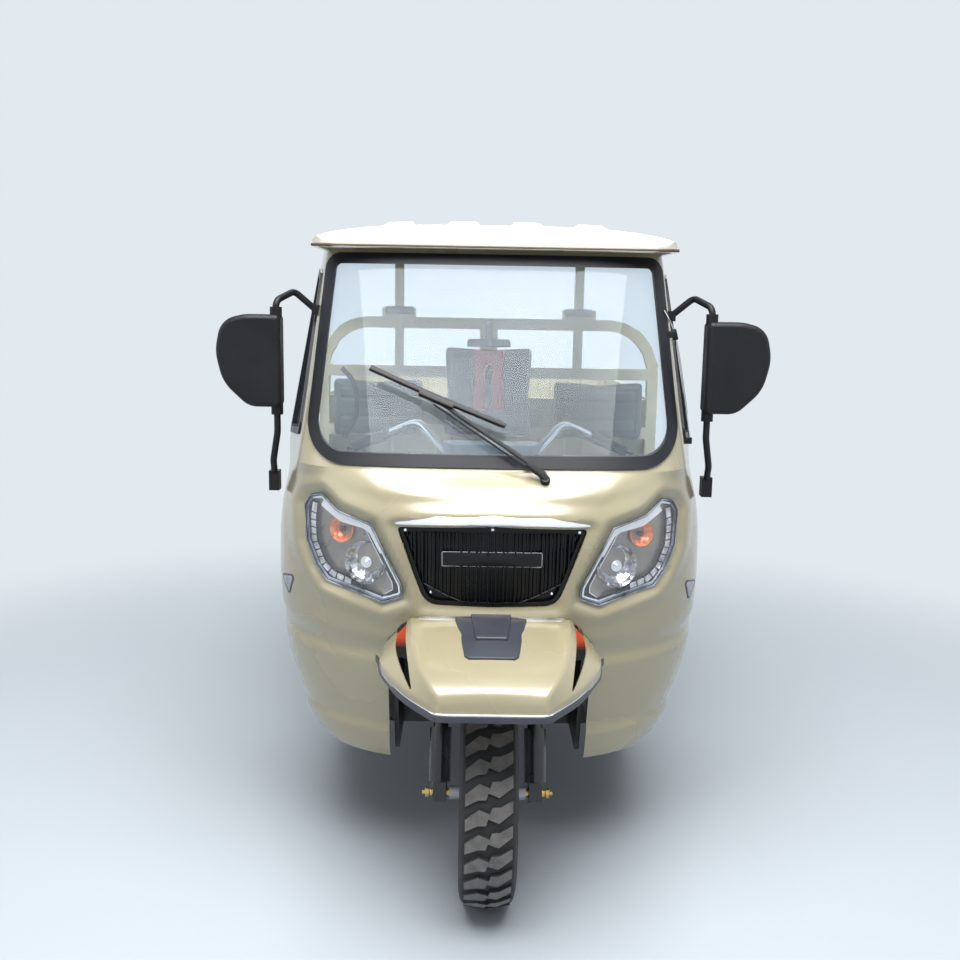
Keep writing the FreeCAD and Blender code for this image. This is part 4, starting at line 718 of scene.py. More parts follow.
print("headlamps")
piece("lampBuckets", bothSides(merged(
    bodyRing(shrunk(lampOutline, 0.0005), shrunk(lampOutline, 0.004), 0.010, lamp["bucket"]),
    bodyPlate(shrunk(lampOutline, 0.003), lamp["middle"], lamp["bucket"] - 0.004, lamp["bucket"]))),
    "glossBlack", replaces=("headlamp_bodies",))
bedOutline = shrunk(filleted(lampCorners + lamp["bedShift"], 0.014), 0.015)
piece("lampBeds", bothSides(bodyPlate(bedOutline, lamp["middle"], lamp["bed"], lamp["bed"] + 0.003)),
      "reflector", smooth=40)
piece("lampRims", bothSides(merged(
    bodyRing(shrunk(lampOutline, 0.0085), shrunk(lampOutline, 0.0125), 0.013, 0.020),
    bodyRing(shrunk(bedOutline, -0.0012), shrunk(bedOutline, 0.0012), 0.028, 0.038))),
    "chrome", bevel=0.0008)
lipLine = respaced(filleted(lamp["lip"], 0.030, 8, False), 40)
piece("lampLips", bothSides(bodyRibbon(alongside(lipLine, 0.006), alongside(lipLine, -0.013), 0.016, 0.030)),
      "lampWhite", bevel=0.002)
stripLine = respaced(filleted(lamp["strip"], 0.035, 8, False), 60)
piece("lampStripBeds", bothSides(bodyRibbon(alongside(stripLine, 0.0095), alongside(stripLine, -0.0095), 0.024, 0.037)),
      "glossBlack")
piece("lampStrips", bothSides(pathCells(stripLine, lamp["cells"], 0.0150, 0.0185, 0.026, 0.003)),
      "lampCell", smooth=0, bevel=0.0015)
# the bowl's facets carry painted reflections in their colour
piece("lampBowls", bothSides(bowlShape(lamp["mainBowl"], 0.030, sides=22)), "facetPaintedReflections", smooth=0)
piece("lampCaps", bothSides(lampTurned(lamp["mainBowl"], lamp["cap"])), "chrome")
piece("turnBowls", bothSides(bowlShape(lamp["turnBowl"], 0.022, sides=26)), "amber", smooth=0)
piece("turnBulbs", bothSides(lampTurned(lamp["turnBowl"], lamp["bulb"])), "turnBulb")
piece("lampLenses", bothSides(bodyPlate(shrunk(lampOutline, 0.001), lamp["middle"], *lamp["lens"], rings=14)),
      "lampClear", smooth=50, replaces=("headlamp_lenses",))
# rings at the lens edge, whose colour paints reflections into it
piece("lampEdges", bothSides(merged(
    bodyRing(shrunk(lampOutline, 0.0008), shrunk(lampOutline, 0.0038), 0.0015, 0.012),
    bodyRing(shrunk(lampOutline, 0.0060), shrunk(lampOutline, 0.0076), 0.0090, 0.014))),
    "lensEdgePaintedReflections", bevel=0.0008)


# Grille: plate, frame, upright fins, plain apron, screws and a blank badge plate

grilleSizes = {"plate": 0.024, "sheet": 0.005, "frame": 0.012, "pitch": 0.0096, "fin": 0.0046,
               "proud": [0.011, 0.004, 0.008, 0.003, 0.009, 0.0055, 0.0025], "middle": (0.0, 0.91),
               "finHalf": 0.212, "finTop": 0.987, "apronSink": 0.0045, "stripCrown": 0.013,
               # each screw's place across and up, and its depth
               "screws": [(0.0, 0.9985, 0.0128), (0.2165, 0.9895, 0.0128), (-0.2165, 0.9895, 0.0128),
                          (0.153, 0.826, 0.0235), (-0.153, 0.826, 0.0235)]}
fieldLine = np.array([(0, 0.801), (0.060, 0.801), (0.109, 0.820), (0.180, 0.855), (0.214, 0.985)])


def finShape():
    # each fin follows the body from the apron's edge up to the frame; its front is rounded
    size = grilleSizes
    count = int(size["finHalf"] // size["pitch"])
    middles = np.arange(-count, count + 1) * size["pitch"]
    low = np.interp(np.abs(middles), fieldLine[:, 0], fieldLine[:, 1])
    proud = np.array(size["proud"])[np.arange(len(middles)) % len(size["proud"])]
    share = np.linspace(0, 1, 9)
    z = low[:, None] + (size["finTop"] - low[:, None]) * share
    side = np.array([-1, -1, -0.6, 0, 0.6, 1, 1]) * size["fin"] / 2
    forward = np.array([0, 0.75, 0.95, 1.0, 0.95, 0.75, 0])
    y = bodyFront(middles[:, None], z) + size["plate"]
    points = np.stack(np.broadcast_arrays(
        middles[:, None, None] + side, y[..., None] - forward * proud[:, None, None], z[..., None]), -1)
    faces = gridFaces(9, 7, False, True) + [list(range(7))[::-1], list(range(56, 63))]
    every = [[i + bar * 63 for i in face] for bar in range(len(middles)) for face in faces]
    return points.reshape(-1, 3), every


def screwShape(x, z, depth, radius=0.0045):
    # a low domed head
    profile = np.array([(0, 0.0026), (radius * 0.55, 0.0023), (radius * 0.9, 0.0012), (radius, 0), (0, 0)])
    return turnedShape(profile, onBody([(x, z)], depth)[0], (0, -1, 0.1), 14)


print("grille")
size = grilleSizes
inner = shrunk(grilleOutline, size["frame"])
piece("grillePlate", bodyPlate(shrunk(grilleOutline, 0.0005), size["middle"], size["plate"],
                               size["plate"] + size["sheet"], 14),
      "glossBlack", replaces=("grille",))
piece("grilleFrame", bodyRing(shrunk(grilleOutline, 0.0005), inner, 0.013, 0.025), "glossBlack",
      bevel=0.002)
piece("grilleFins", finShape(), "finBlack", smooth=60)
apronLine = np.concatenate([fieldLine[3:0:-1] * (-1, 1), fieldLine[:4]])
apronLine = respaced(filleted(apronLine, 0.09, 8, False), 60)
apronEdge = onBody(apronLine, size["plate"] - size["apronSink"])
piece("grilleApronEdge", tubeShape(apronEdge, 0.0016, 8), "greyPlastic")
piece("grilleScrews", merged(*[screwShape(*place) for place in size["screws"]]), "chrome")
badgeLine = filleted([(-0.125, 0.9015), (0.125, 0.9015), (0.125, 0.9405), (-0.125, 0.9405)], 0.005)
piece("grilleBadge", bodyPlate(badgeLine, (0, 0.921), 0.0135, 0.019, 6), "blackPlastic", bevel=0.0008)
piece("grilleBadgeEdge", bodyRing(badgeLine, shrunk(badgeLine, 0.0016), 0.0126, 0.0150), "badgeEdge")
stripOutline = filleted(wholeOutline([(0, 1.0065), (0.240, 1.0035), (0.253, 1.005), (0.238, 1.0230), (0.206, 1.0350),
                                      (0, 1.041)]), 0.003, 5)


def stripFront(flat):
    # the strip is crowned: deepest at its edges, proud along its middle line
    share = np.linspace(1.0, 0.002, flat.shape[0])[:, None]
    return onBody(flat, 0.004) - (0, 1, 0) * (grilleSizes["stripCrown"] * (1 - share ** 4))[..., None]


piece("grilleStrip", plateShape(stripOutline, (0, 1.019), stripFront, lambda flat: onBody(flat, 0.008), 12),
      "stripMetal", smooth=40, replaces=("grille_strip",))


# Nose over the front wheel: crown, slanted wings with a slot, edge strip and a slate trim

# distance ahead of the axle, half width at the lip, lip height, side height, half width of the crown, crown height
noseStations = np.array([
    (-0.012, 0.274, 0.652, 0.024, 0.202, 0.762), (0.120, 0.270, 0.655, 0.022, 0.194, 0.750),
    (0.250, 0.207, 0.642, 0.020, 0.168, 0.714), (0.318, 0.152, 0.635, 0.018, 0.139, 0.689),
    (0.333, 0.137, 0.633, 0.016, 0.128, 0.678), (0.340, 0.130, 0.632, 0.013, 0.122, 0.665),
    (0.3435, 0.127, 0.632, 0.008, 0.117, 0.650), (0.3445, 0.125, 0.631, 0.003, 0.112, 0.636)])
noseBow = 0.008


def noseGrid(inset):
    # half sections from the crown's middle over its edge and down the wing to the lip, mirrored
    steps = np.concatenate([np.linspace(-0.012, 0.318, 34), np.linspace(0.324, 0.3445, 14)])
    values = between(noseStations, steps)
    rows = []
    for forward, lipHalf, lip, side, crownHalf, crown in zip(steps, *values):
        lipHalf, crownHalf, crown = lipHalf - inset, crownHalf - inset / 2, crown - inset
        bow = noseBow * min(1.0, (crown - lip) / 0.03)
        across = np.linspace(0, 1, 7)[:-1] * crownHalf
        line = np.concatenate([np.stack([across, crown + bow * (1 - (across / crownHalf) ** 2)], -1),
                               [(crownHalf, crown), (lipHalf, lip + side), (lipHalf + 0.0005, lip)]])
        line = respaced(filleted(line, 0.010, 5, False), 46)
        y = np.full(len(line), axleY - forward + (inset if forward > 0.3 else 0))
        rows.append(np.stack([line[:, 0], y, line[:, 1]], -1))
    half = np.array(rows)
    return np.concatenate([half[:, :0:-1] * (-1, 1, 1), half], 1)


def noseTop(x, forward):
    lipHalf, lip, side, crownHalf, crown = between(noseStations, np.asarray(forward, float))
    return crown + noseBow * (1 - (np.asarray(x) / crownHalf) ** 2)


def nosePlate(outline, middle, proud, deep):
    # a plan outline laid on the crown
    def onCrown(flat, lift):
        x, forward = flat[..., 0], flat[..., 1]
        return np.stack([x, axleY - forward, noseTop(x, forward) + lift], -1)
    return bodyPlate(outline, middle, proud, deep, 8, onCrown)


print("nose")
nose = piece("noseShell", shellShape(noseGrid(0.0), noseGrid(0.005)), "paint",
             replaces=("nose_fender",))
slotOutline = filleted([(0.247, 0.724), (0.214, 0.752), (0.196, 0.704), (0.183, 0.660)], 0.003, 4)
carved(nose, [prismShape(slotOutline, -0.27, 0.06), prismShape(slotOutline * (-1, 1), -0.27, 0.06)], 28)
linerLine = [(0.150, 0.640), (0.262, 0.662), (0.258, 0.690), (0.206, 0.750), (0.150, 0.750)]
# a sheet behind each slot whose lower part is painted dark as the slot's shade
piece("noseLiner", bothSides(prismShape(np.array(linerLine), -0.016, -0.012)), "linerPaintedShade")
edgePath = np.array([(0.0, -0.3462, 0.627), (0.090, -0.3462, 0.627), (0.128, -0.344, 0.627), (0.146, -0.325, 0.629),
                     (0.209, -0.250, 0.637), (0.250, -0.165, 0.648), (0.272, -0.110, 0.651), (0.279, -0.04, 0.648),
                     (0.290, 0.004, 0.646)])
edgePath = respaced(softened(np.concatenate([edgePath[:0:-1] * (-1, 1, 1), edgePath]), 2), 150) + (0, axleY, 0)
edgeProfile = filleted([(-0.003, -0.0085), (0.0035, -0.0085), (0.0035, 0.0075), (-0.003, 0.0075)], 0.002, 4)
piece("noseEdge", sweptShape(edgePath, edgeProfile), "edgeGrey", replaces=("nose_trim",))
brightPath = edgePath + (0, -0.001, 0.0095)
piece("noseBrightLine", tubeShape(brightPath[14:-14], 0.0022, 8), "chrome")
trimLine = filleted([(-0.090, 0.040), (-0.052, 0.040), (-0.048, 0.030), (0.048, 0.030), (0.052, 0.040), (0.090, 0.040),
                     (0.064, 0.222), (0.054, 0.232), (-0.054, 0.232), (-0.064, 0.222)], 0.006, 4)
piece("noseTrim", nosePlate(trimLine, (0, 0.130), 0.0060, -0.004), "greyPlastic",
      bevel=0.002)
padLine = filleted([(-0.052, 0.026), (0.052, 0.026), (0.038, 0.166), (-0.038, 0.166)], 0.005, 4)
piece("noseTrimPad", nosePlate(padLine, (0, 0.096), 0.0130, 0.002), "greyPlastic",
      bevel=0.003)


# Tyres: a turned casing with two rows of staggered blocks

tyreSizes = {"radius": 0.284, "edge": 0.0575, "crown": 0.008, "groove": 0.0095, "blocks": 30, "foot": 0.002,
             "shoulder": 0.0012, "grow": (0.05, 0.015, -0.02), "stagger": 0.56, "widest": 0.0588}
# one block's corners: across in metres, and along the tread in shares of the pitch
blockCorners = np.array([(-0.0575, -0.43), (-0.0240, 0.0), (0.0026, -0.18), (-0.0067, -0.64),
                         (-0.0275, -0.66), (-0.0575, -0.93)])
casingProfile = np.array([
    (0.0440, 0.158), (0.0490, 0.1575), (0.0530, 0.164), (0.0600, 0.176), (0.0680, 0.194), (0.0712, 0.212),
    (0.0718, 0.226), (0.0705, 0.240), (0.0712, 0.2412), (0.0712, 0.2440), (0.0698, 0.2452), (0.0690, 0.252),
    (0.0668, 0.2605), (0.0625, 0.2672), (0.0585, 0.2692), (0.0560, 0.2690), (0.0400, 0.2715), (0.0200, 0.2738),
    (0.0, 0.2745)])


def treadRadius(x):
    return tyreSizes["radius"] - tyreSizes["crown"] * (x / tyreSizes["edge"]) ** 2


def tyreCasing(centre, steps=96):
    half = np.concatenate([casingProfile, casingProfile[-2::-1] * (-1, 1)])
    turn = np.arange(steps) / steps * 2 * math.pi
    points = np.stack(np.broadcast_arrays(half[None, :, 0], half[None, :, 1] * np.sin(turn)[:, None],
                                          half[None, :, 1] * np.cos(turn)[:, None]), -1)
    return gridShape(points + centre, True, True)


def tyreBlocks(centre):
    # three rings to a block: foot, shoulder and top, each a little smaller than the one below
    size = tyreSizes
    pitch = 2 * math.pi / size["blocks"]
    middle = blockCorners.mean(0)
    left = np.stack([middle + (blockCorners - middle) * (1 + grow) for grow in size["grow"]])
    right = -left + (0, -size["stagger"])
    shapes = []
    for rings in (left, right):
        x = np.clip(rings[..., 0], -size["widest"], size["widest"])
        lift = np.array([-size["groove"] - size["foot"], -size["shoulder"], 0.0])[:, None]
        angle = (rings[..., 1][None] + np.arange(size["blocks"])[:, None, None]) * pitch
        radius = np.broadcast_to(treadRadius(x) + lift, angle.shape)
        x = np.broadcast_to(x, angle.shape)
        points = np.stack([x, radius * np.sin(angle), radius * np.cos(angle)], -1) + centre
        count = blockCorners.shape[0]
        faces = gridFaces(3, count, False, True) + [list(range(2 * count, 3 * count))]
        blockFaces = [[i + block * 3 * count for i in face] for block in range(size["blocks"]) for face in faces]
        shapes.append((points.reshape(-1, 3), blockFaces))
    return merged(*shapes)


print("tyres")
for nodeName, body in (("tyre_front", "wheel_front"), ("tyre_rear_left", "wheel_rear_left"),
                       ("tyre_rear_right", "wheel_rear_right")):
    low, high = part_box(nodeName)
    centre = np.array((low + high) / 2)
    place = nodeName.replace("tyre_", "")
    piece("tyreCasing_" + place, tyreCasing(centre), "tyreSide", body, replaces=(nodeName,))
    blocks = piece("tyreBlocks_" + place, tyreBlocks(centre), "treadTop", body, smooth=25)
    blocks.data.materials.append(finishes["tyreSide"])
    corners = readAll(blocks.data.polygons, "loop_total", 1, int)
    blocks.data.polygons.foreach_set("material_index", np.where(corners == 4, 1, 0))


# Cushions and backrests: swollen by pressure, then sewn

padSizes = {   # node: finish, face (which way it swells most), most that a point moves
    "driver_cushion": ("seatVinyl", "up", 0.024),
    "driver_backrest": ("seatVinyl", "forward", 0.022),
    "passenger_cushion_left": ("panelVinyl", "up", 0.022),
    "passenger_backrest_left": ("panelVinyl", "forward", 0.018),
}
stripe = {"half": 0.055, "low": 1.172, "seam": 1.158, "slot": (0.013, 1.190, 1.318), "slotDepth": 0.008}
padRoom = {"side": 0.006, "crown": 0.020, "base": 0.003, "voxel": 0.006, "seam": 0.036, "seamDepth": 0.005,
           "edge": 0.017, "channels": (0.36, 0.66), "channelDepth": 0.004, "front": 0.045}


def slotGap(across, height):
    # how far a place lies from the middle line of the backrest's slot
    half, start, end = stripe["slot"]
    return np.hypot(across, np.maximum(np.maximum(start - height, height - end), 0))


def swollen(made, low, high, reach, gain):
    # air pressure swells the mesh for twenty frames; a point moves at most the reach and stays in the room it has
    before = readAll(made.data.vertices, "co")
    cloth = made.modifiers.new("Cloth", "CLOTH")
    sizes = cloth.settings
    sizes.quality, sizes.mass, sizes.use_pressure, sizes.uniform_pressure_force = 4, 0.3, True, 4.0
    sizes.tension_stiffness = sizes.compression_stiffness = 14.0
    sizes.shear_stiffness, sizes.bending_stiffness = 5.0, 0.5
    sizes.effector_weights.gravity = 0.0
    cloth.point_cache.frame_start, cloth.point_cache.frame_end = 1, 20
    for step in range(1, 21):
        scene.frame_set(step)
    after = readAll(baked(made).vertices, "co")
    made.modifiers.remove(cloth)
    scene.frame_set(1)
    move = (after - before) * gain
    length = np.linalg.norm(move, axis=1, keepdims=True)
    move *= np.minimum(1.0, reach / np.maximum(length, 1e-9))
    return np.clip(before + move, low + 0.001, high - 0.001)


def sewn(points, low, high, face, nodeName):
    # a seam runs round the face at a set distance from its edges; channels and the stripe's edges are pressed in
    axis, sign = (2, 1) if face == "up" else (1, -1)
    others = [i for i in range(3) if i != axis]
    edge = np.min([np.minimum(points[:, i] - low[i], high[i] - points[:, i]) for i in others], axis=0)
    middle = (low[axis] + high[axis]) / 2
    onFace = eased((points[:, axis] - middle) * sign, 0.0, 0.015)
    deep = padRoom["seamDepth"] * np.exp(-((edge - padRoom["seam"]) / 0.005) ** 2)
    inside = eased(edge, padRoom["seam"] - 0.004, padRoom["seam"] + 0.004)
    if nodeName == "driver_backrest":
        across, height, half = np.abs(points[:, 0]), points[:, 2], stripe["slot"][0]
        above = eased(height, stripe["low"] - 0.01, stripe["low"])
        deep += padRoom["channelDepth"] * np.exp(-((across - stripe["half"]) / 0.004) ** 2) * above
        deep += padRoom["channelDepth"] * np.exp(-((height - stripe["seam"]) / 0.005) ** 2) * inside
        deep += stripe["slotDepth"] * (1 - eased(slotGap(across, height), half - 0.003, half + 0.001))
    else:
        along = points[:, others[1]]
        for share in padRoom["channels"]:
            line = low[others[1]] + share * (high[others[1]] - low[others[1]])
            deep += padRoom["channelDepth"] * np.exp(-((along - line) / 0.006) ** 2) * inside
    points[:, axis] -= sign * deep * onFace
    return points


def padMesh(nodeName, face, reach):
    low, high = [np.array(corner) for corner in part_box(nodeName)]
    room = padRoom
    start, end = low + room["side"], high - room["side"]
    if face == "up":
        start[2], end[2], gain = low[2] + room["base"], high[2] - room["crown"], (0.3, 0.3, 1.0)
    else:
        start[1], end[1], gain = low[1] + room["crown"], high[1] - room["base"], (0.3, 1.0, 0.3)
    work = bmesh.new()
    bmesh.ops.create_cube(work, size=1.0)
    bmesh.ops.scale(work, vec=Vector(end - start), verts=work.verts)
    bmesh.ops.translate(work, vec=Vector((start + end) / 2), verts=work.verts)
    bmesh.ops.bevel(work, geom=work.edges[:], offset=room["edge"], segments=3, profile=0.5, affect="EDGES")
    mesh = bpy.data.meshes.new("pad")
    work.to_mesh(mesh)
    work.free()
    made = bpy.data.objects.new("pad", mesh)
    scene.collection.objects.link(made)
    cells = made.modifiers.new("Remesh", "REMESH")
    cells.mode, cells.voxel_size = "VOXEL", room["voxel"]
    made.data = baked(made)
    made.modifiers.remove(cells)
    made.data.vertices.foreach_set("co", swollen(made, low, high, reach, gain).ravel())
    made.data.update()
    finer = made.modifiers.new("Subdivision", "SUBSURF")
    finer.levels = finer.render_levels = 1
    result = baked(made)
    bpy.data.objects.remove(made)
    points = sewn(readAll(result.vertices, "co"), low, high, face, nodeName)
    sides = readAll(result.polygons, "loop_total", 1, int)
    corners = np.empty(sides.sum(), int)
    result.polygons.foreach_get("vertices", corners)
    faces = [part.tolist() for part in np.split(corners, np.cumsum(sides)[:-1])]
    return points, faces


print("cushions")
padPieces = {}
for nodeName, (finishName, face, reach) in padSizes.items():
    shape = padMesh(nodeName, face, reach)
    names = [nodeName] if "left" not in nodeName else [nodeName, nodeName.replace("left", "right")]
    for name in names:
        made = piece(name + "_pad", shape if name == nodeName else flipped(shape), finishName,
                     smooth=60, replaces=(name,))
        padPieces[name] = made
back = padPieces["driver_backrest"].data
back.materials.append(finishes["stripeVinyl"])
back.materials.append(finishes["glossBlack"])
centres = readAll(back.polygons, "center")
across, height = np.abs(centres[:, 0]), centres[:, 2]
forward = centres[:, 1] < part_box("driver_backrest")[0][1] + padRoom["front"]
kind = np.where((across < stripe["half"]) & (height > stripe["low"]) & forward, 1, 0)
back.polygons.foreach_set("material_index", np.where((slotGap(across, height) < stripe["slot"][0]) & forward, 2, kind))


# Rear hoop's plates, the backrest's post, levers and a side tube

fitting = {
    "plate": [(-0.050, 0.0), (0.050, 0.0), (0.050, 0.026), (-0.050, 0.026)], "plateAcross": (-0.32, 0.32),
    "plateFront": -0.0815, "plateLow": 1.500, "holes": (-0.355, -0.285, 0.285, 0.355), "holeSize": (0.0045, 0.02),
    "holeFront": -0.0795, "holeHeight": 1.515,
    "head": [(-0.080, 0.0), (0.080, 0.0), (0.074, 0.028), (-0.074, 0.028)], "headPlace": (0.0, -0.128, 1.388),
    "headThick": 0.005, "post": [(0.0, -0.122, 1.392), (0.0, -0.118, 1.430), (0.0, -0.100, 1.475)],
    "postRadius": 0.012, "tubeRadius": 0.009,
    "tube": [(-0.520, -0.150, 1.306), (-0.478, -0.158, 1.270), (-0.462, -0.160, 1.190), (-0.478, -0.158, 1.105),
             (-0.515, -0.150, 1.060)],
    "lever": [(0.250, -0.775, 1.170), (0.300, -0.800, 1.150), (0.360, -0.795, 1.130), (0.425, -0.770, 1.105)],
    "leverRadius": (0.0055, 0.0042), "knobAxis": (0.85, 0.35, -0.35),
    "knob": [(0.0, -0.004), (0.007, -0.003), (0.008, 0.0), (0.007, 0.003), (0.0, 0.004)],
    "clamp": ((0.236, -0.790, 1.158), (0.262, -0.758, 1.184)),
}


def plateAt(x, y, z, outline, thick=0.004):
    # an upright plate whose outline is drawn from a place
    def at(depth):
        return lambda line: np.stack([line[:, 0] + x, np.full(len(line), depth), line[:, 1] + z], -1)
    return slabShape(outline, at(y + thick), at(y))


print("cab fittings")
hoopPlate = filleted(fitting["plate"], 0.004, 4)
hoopMade = piece("hoopPlates", merged(*[plateAt(x, fitting["plateFront"], fitting["plateLow"], hoopPlate)
                                        for x in fitting["plateAcross"]]), "steel", bevel=0.001)
holeProfile = np.array([(0, -1), (1, -1), (1, 1), (0, 1)]) * fitting["holeSize"]
carved(hoopMade, [turnedShape(holeProfile, (x, fitting["holeFront"], fitting["holeHeight"]), (0, 1, 0), 12)
                  for x in fitting["holes"]])
headPlate = filleted(fitting["head"], 0.010, 5)
piece("backrestBracket", merged(plateAt(*fitting["headPlace"], headPlate, fitting["headThick"]),
                                tubeShape(fitting["post"], fitting["postRadius"], 14)),
      "steel", bevel=0.001)
sideTube = respaced(softened(fitting["tube"], 3), 40)
piece("sideTube", tubeShape(sideTube, fitting["tubeRadius"], 14, (0, 1, 0)), "glossBlack")
leverLine = respaced(softened(fitting["lever"], 3), 24)
piece("handLevers", bothSides(merged(
    tubeShape(leverLine, np.linspace(*fitting["leverRadius"], 24), 12),
    turnedShape(fitting["knob"], leverLine[-1], fitting["knobAxis"], 12),
    boxShape(*fitting["clamp"]))),
    "glossBlack", steerBody, bevel=0.001)


# Wiper: spindle knuckle, flat arm with a second rod, joint and a blade in a thick carrier

wiper = {
    "foot": (0.130, -1.315, 1.112), "rise": (0, -0.004, 0.018), "hold": (-0.148, -1.232, 1.304),
    "blade": [(-0.318, -1.194, 1.378), (-0.150, -1.230, 1.309), (0.030, -1.266, 1.242)],
    "glassOut": (0.0, -0.881, 0.473),                                         # square to the windscreen
    "spindle": [(0.0, -0.030), (0.0105, -0.030), (0.0105, -0.010), (0.0125, -0.008), (0.0125, 0.006),
                (0.0095, 0.011), (0.0, 0.012)], "spindleAxis": (0, -0.75, 0.66),
    "knuckle": [(0.004, -0.004, 0.004), (-0.012, 0.0, 0.020), (-0.045, 0.010, 0.043)],
    "knuckleSection": [(-0.011, -0.006), (-0.008, 0.007), (0.008, 0.007), (0.011, -0.006)],
    "armSection": [(-0.0058, -0.003), (-0.0048, 0.003), (0.0048, 0.003), (0.0058, -0.003)],
    "rod": (-0.006, -0.002, -0.012), "rodRadius": 0.0026,
    "carrier": [(-0.0085, -0.001), (-0.0065, 0.0085), (0.0065, 0.0085), (0.0085, -0.001)],
    "lip": [(-0.002, -0.005), (-0.002, 0.001), (0.002, 0.001), (0.002, -0.005)],
    "joint": [(-0.011, -0.002), (-0.009, 0.011), (0.009, 0.011), (0.011, -0.002)], "jointReach": (-0.045, 0.05),
}

print("wiper and aerial")
foot, hold = np.array(wiper["foot"]), np.array(wiper["hold"])
armLine = np.linspace(foot + wiper["rise"], hold, 14)
bladeLine = respaced(softened(wiper["blade"], 3), 40)
bladeWay = (bladeLine[-1] - bladeLine[0]) / np.linalg.norm(bladeLine[-1] - bladeLine[0])
jointLine = hold + np.linspace(*wiper["jointReach"], 8)[:, None] * bladeWay
piece("wiperArm", merged(
    turnedShape(wiper["spindle"], foot, wiper["spindleAxis"], 20),
    sweptShape(foot + np.array(wiper["knuckle"]), filleted(wiper["knuckleSection"], 0.003, 4), wiper["glassOut"]),
    sweptShape(armLine, filleted(wiper["armSection"], 0.0015, 3), wiper["glassOut"]),
    tubeShape(armLine[3:] + wiper["rod"], wiper["rodRadius"], 10)),
    "blackPlastic", replaces=("wiper",))
piece("wiperBlade", merged(
    sweptShape(bladeLine, filleted(wiper["carrier"], 0.003, 4), wiper["glassOut"]),
    sweptShape(bladeLine, wiper["lip"], wiper["glassOut"]),
    sweptShape(jointLine, filleted(wiper["joint"], 0.003, 4), wiper["glassOut"])), "glossBlack")

# the aerial's heights, how far behind the axle and out from the flank it stands, and its clips' reach both ways
aerial = {"heights": (1.183, 1.536), "behind": 0.300, "out": 0.016, "radius": (0.0032, 0.0018), "clips": (0, 9),
          "clipIn": (0.026, 0.010, 0.009), "clipOut": (0.003, 0.010, 0.009),
          "collar": [(0.0, -0.016), (0.007, -0.015), (0.007, 0.014), (0.0, 0.016)]}
heights, behind = np.linspace(*aerial["heights"], 12), np.full(12, aerial["behind"])
aerialLine = np.stack([bodySide(behind, heights) + aerial["out"], behind + axleY, heights], -1)
piece("aerialRod", tubeShape(aerialLine, np.linspace(*aerial["radius"], 12), 10, (0, 1, 0)), "chrome")
piece("aerialClips", merged(
    *[boxShape(aerialLine[i] - aerial["clipIn"], aerialLine[i] + aerial["clipOut"]) for i in aerial["clips"]],
    turnedShape(aerial["collar"], aerialLine[9], aerialLine[9] - aerialLine[8], 14)),
    "blackPlastic", bevel=0.002)


# Roof's front lip: it follows the foremost points of the roof's lower edge

print("roof lip and side lamps")
roofEdge = {"half": 0.492, "places": 41, "window": 0.026, "layer": 0.004, "ahead": -0.80, "in": 0.003, "radius": 0.0042}
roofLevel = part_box("roof_panel")[0][2] + roofEdge["layer"]
roofPoints = readAll(nodes["roof_panel"].data.vertices, "co")
roofLow = roofPoints[(roofPoints[:, 2] < roofLevel) & (roofPoints[:, 1] < roofEdge["ahead"])]
places = np.linspace(-roofEdge["half"], roofEdge["half"], roofEdge["places"])
nearest = np.array([roofLow[np.abs(roofLow[:, 0] - x) < roofEdge["window"], 1].min(initial=np.inf) for x in places])
known = np.isfinite(nearest)
lipFront = np.interp(places, places[known], nearest[known])
lipPath = respaced(np.stack([places, lipFront + roofEdge["in"], np.full(len(places), roofLevel)], -1), 90)
piece("roofLip", tubeShape(lipPath, roofEdge["radius"], 10), "lipBrown")


# Small side lamps: a lens on each flank and a rim round it

def onFlank(flat, out):
    # lays side-view (behind the axle, up) pairs on the flank
    return np.stack([bodySide(flat[..., 0], flat[..., 1]) + out, flat[..., 0] + axleY, flat[..., 1]], -1)


sideLamp = {"outline": [(0.205, 0.806), (0.292, 0.786), (0.242, 0.750)], "middle": (0.246, 0.781),
            "lens": (0.0020, -0.004), "rim": (0.0022, -0.003), "rimLines": (-0.004, 0.0005)}
sideLine = filleted(sideLamp["outline"], 0.006, 5)
# the side lamps' lenses carry the same painted reflections in their colour
piece("sideLamps", bothSides(bodyPlate(sideLine, sideLamp["middle"], *sideLamp["lens"], 8, onFlank)),
      "lensEdgePaintedReflections", bevel=0.001)
rimLines = [shrunk(sideLine, amount) for amount in sideLamp["rimLines"]]
piece("sideLampRims", bothSides(bodyRing(*rimLines, *sideLamp["rim"], onFlank)), "edgeGrey")


# Front axle's nuts

nut = {"place": (0.1525, axleY, 0.284), "profile": [(0.0, 0.0), (0.0125, 0.0), (0.0125, 0.009), (0.009, 0.0105),
                                                    (0.006, 0.0105), (0.006, 0.018), (0.0, 0.019)]}
piece("axleNuts", bothSides(turnedShape(nut["profile"], nut["place"], (1, 0, 0), 6)), "zinc", steerBody,
      smooth=20)


# Camera, lamps and floor

shot = {"place": (-0.055, -3.935, 1.560), "pitch": 9.7, "turn": -0.48, "roll": 1.0, "lens": 39.9}
camera = bpy.data.objects.new("camera", bpy.data.cameras.new("camera"))
scene.collection.objects.link(camera)
scene.camera = camera
camera.data.lens = shot["lens"]
camera.data.sensor_width = 36.0
camera.data.clip_end = 100.0
camera.matrix_world = (Matrix.Translation(shot["place"])
                       @ Matrix.Rotation(math.radians(shot["turn"]), 4, "Z")
                       @ Matrix.Rotation(math.radians(90.0 - shot["pitch"]), 4, "X")
                       @ Matrix.Rotation(math.radians(shot["roll"]), 4, "Z"))

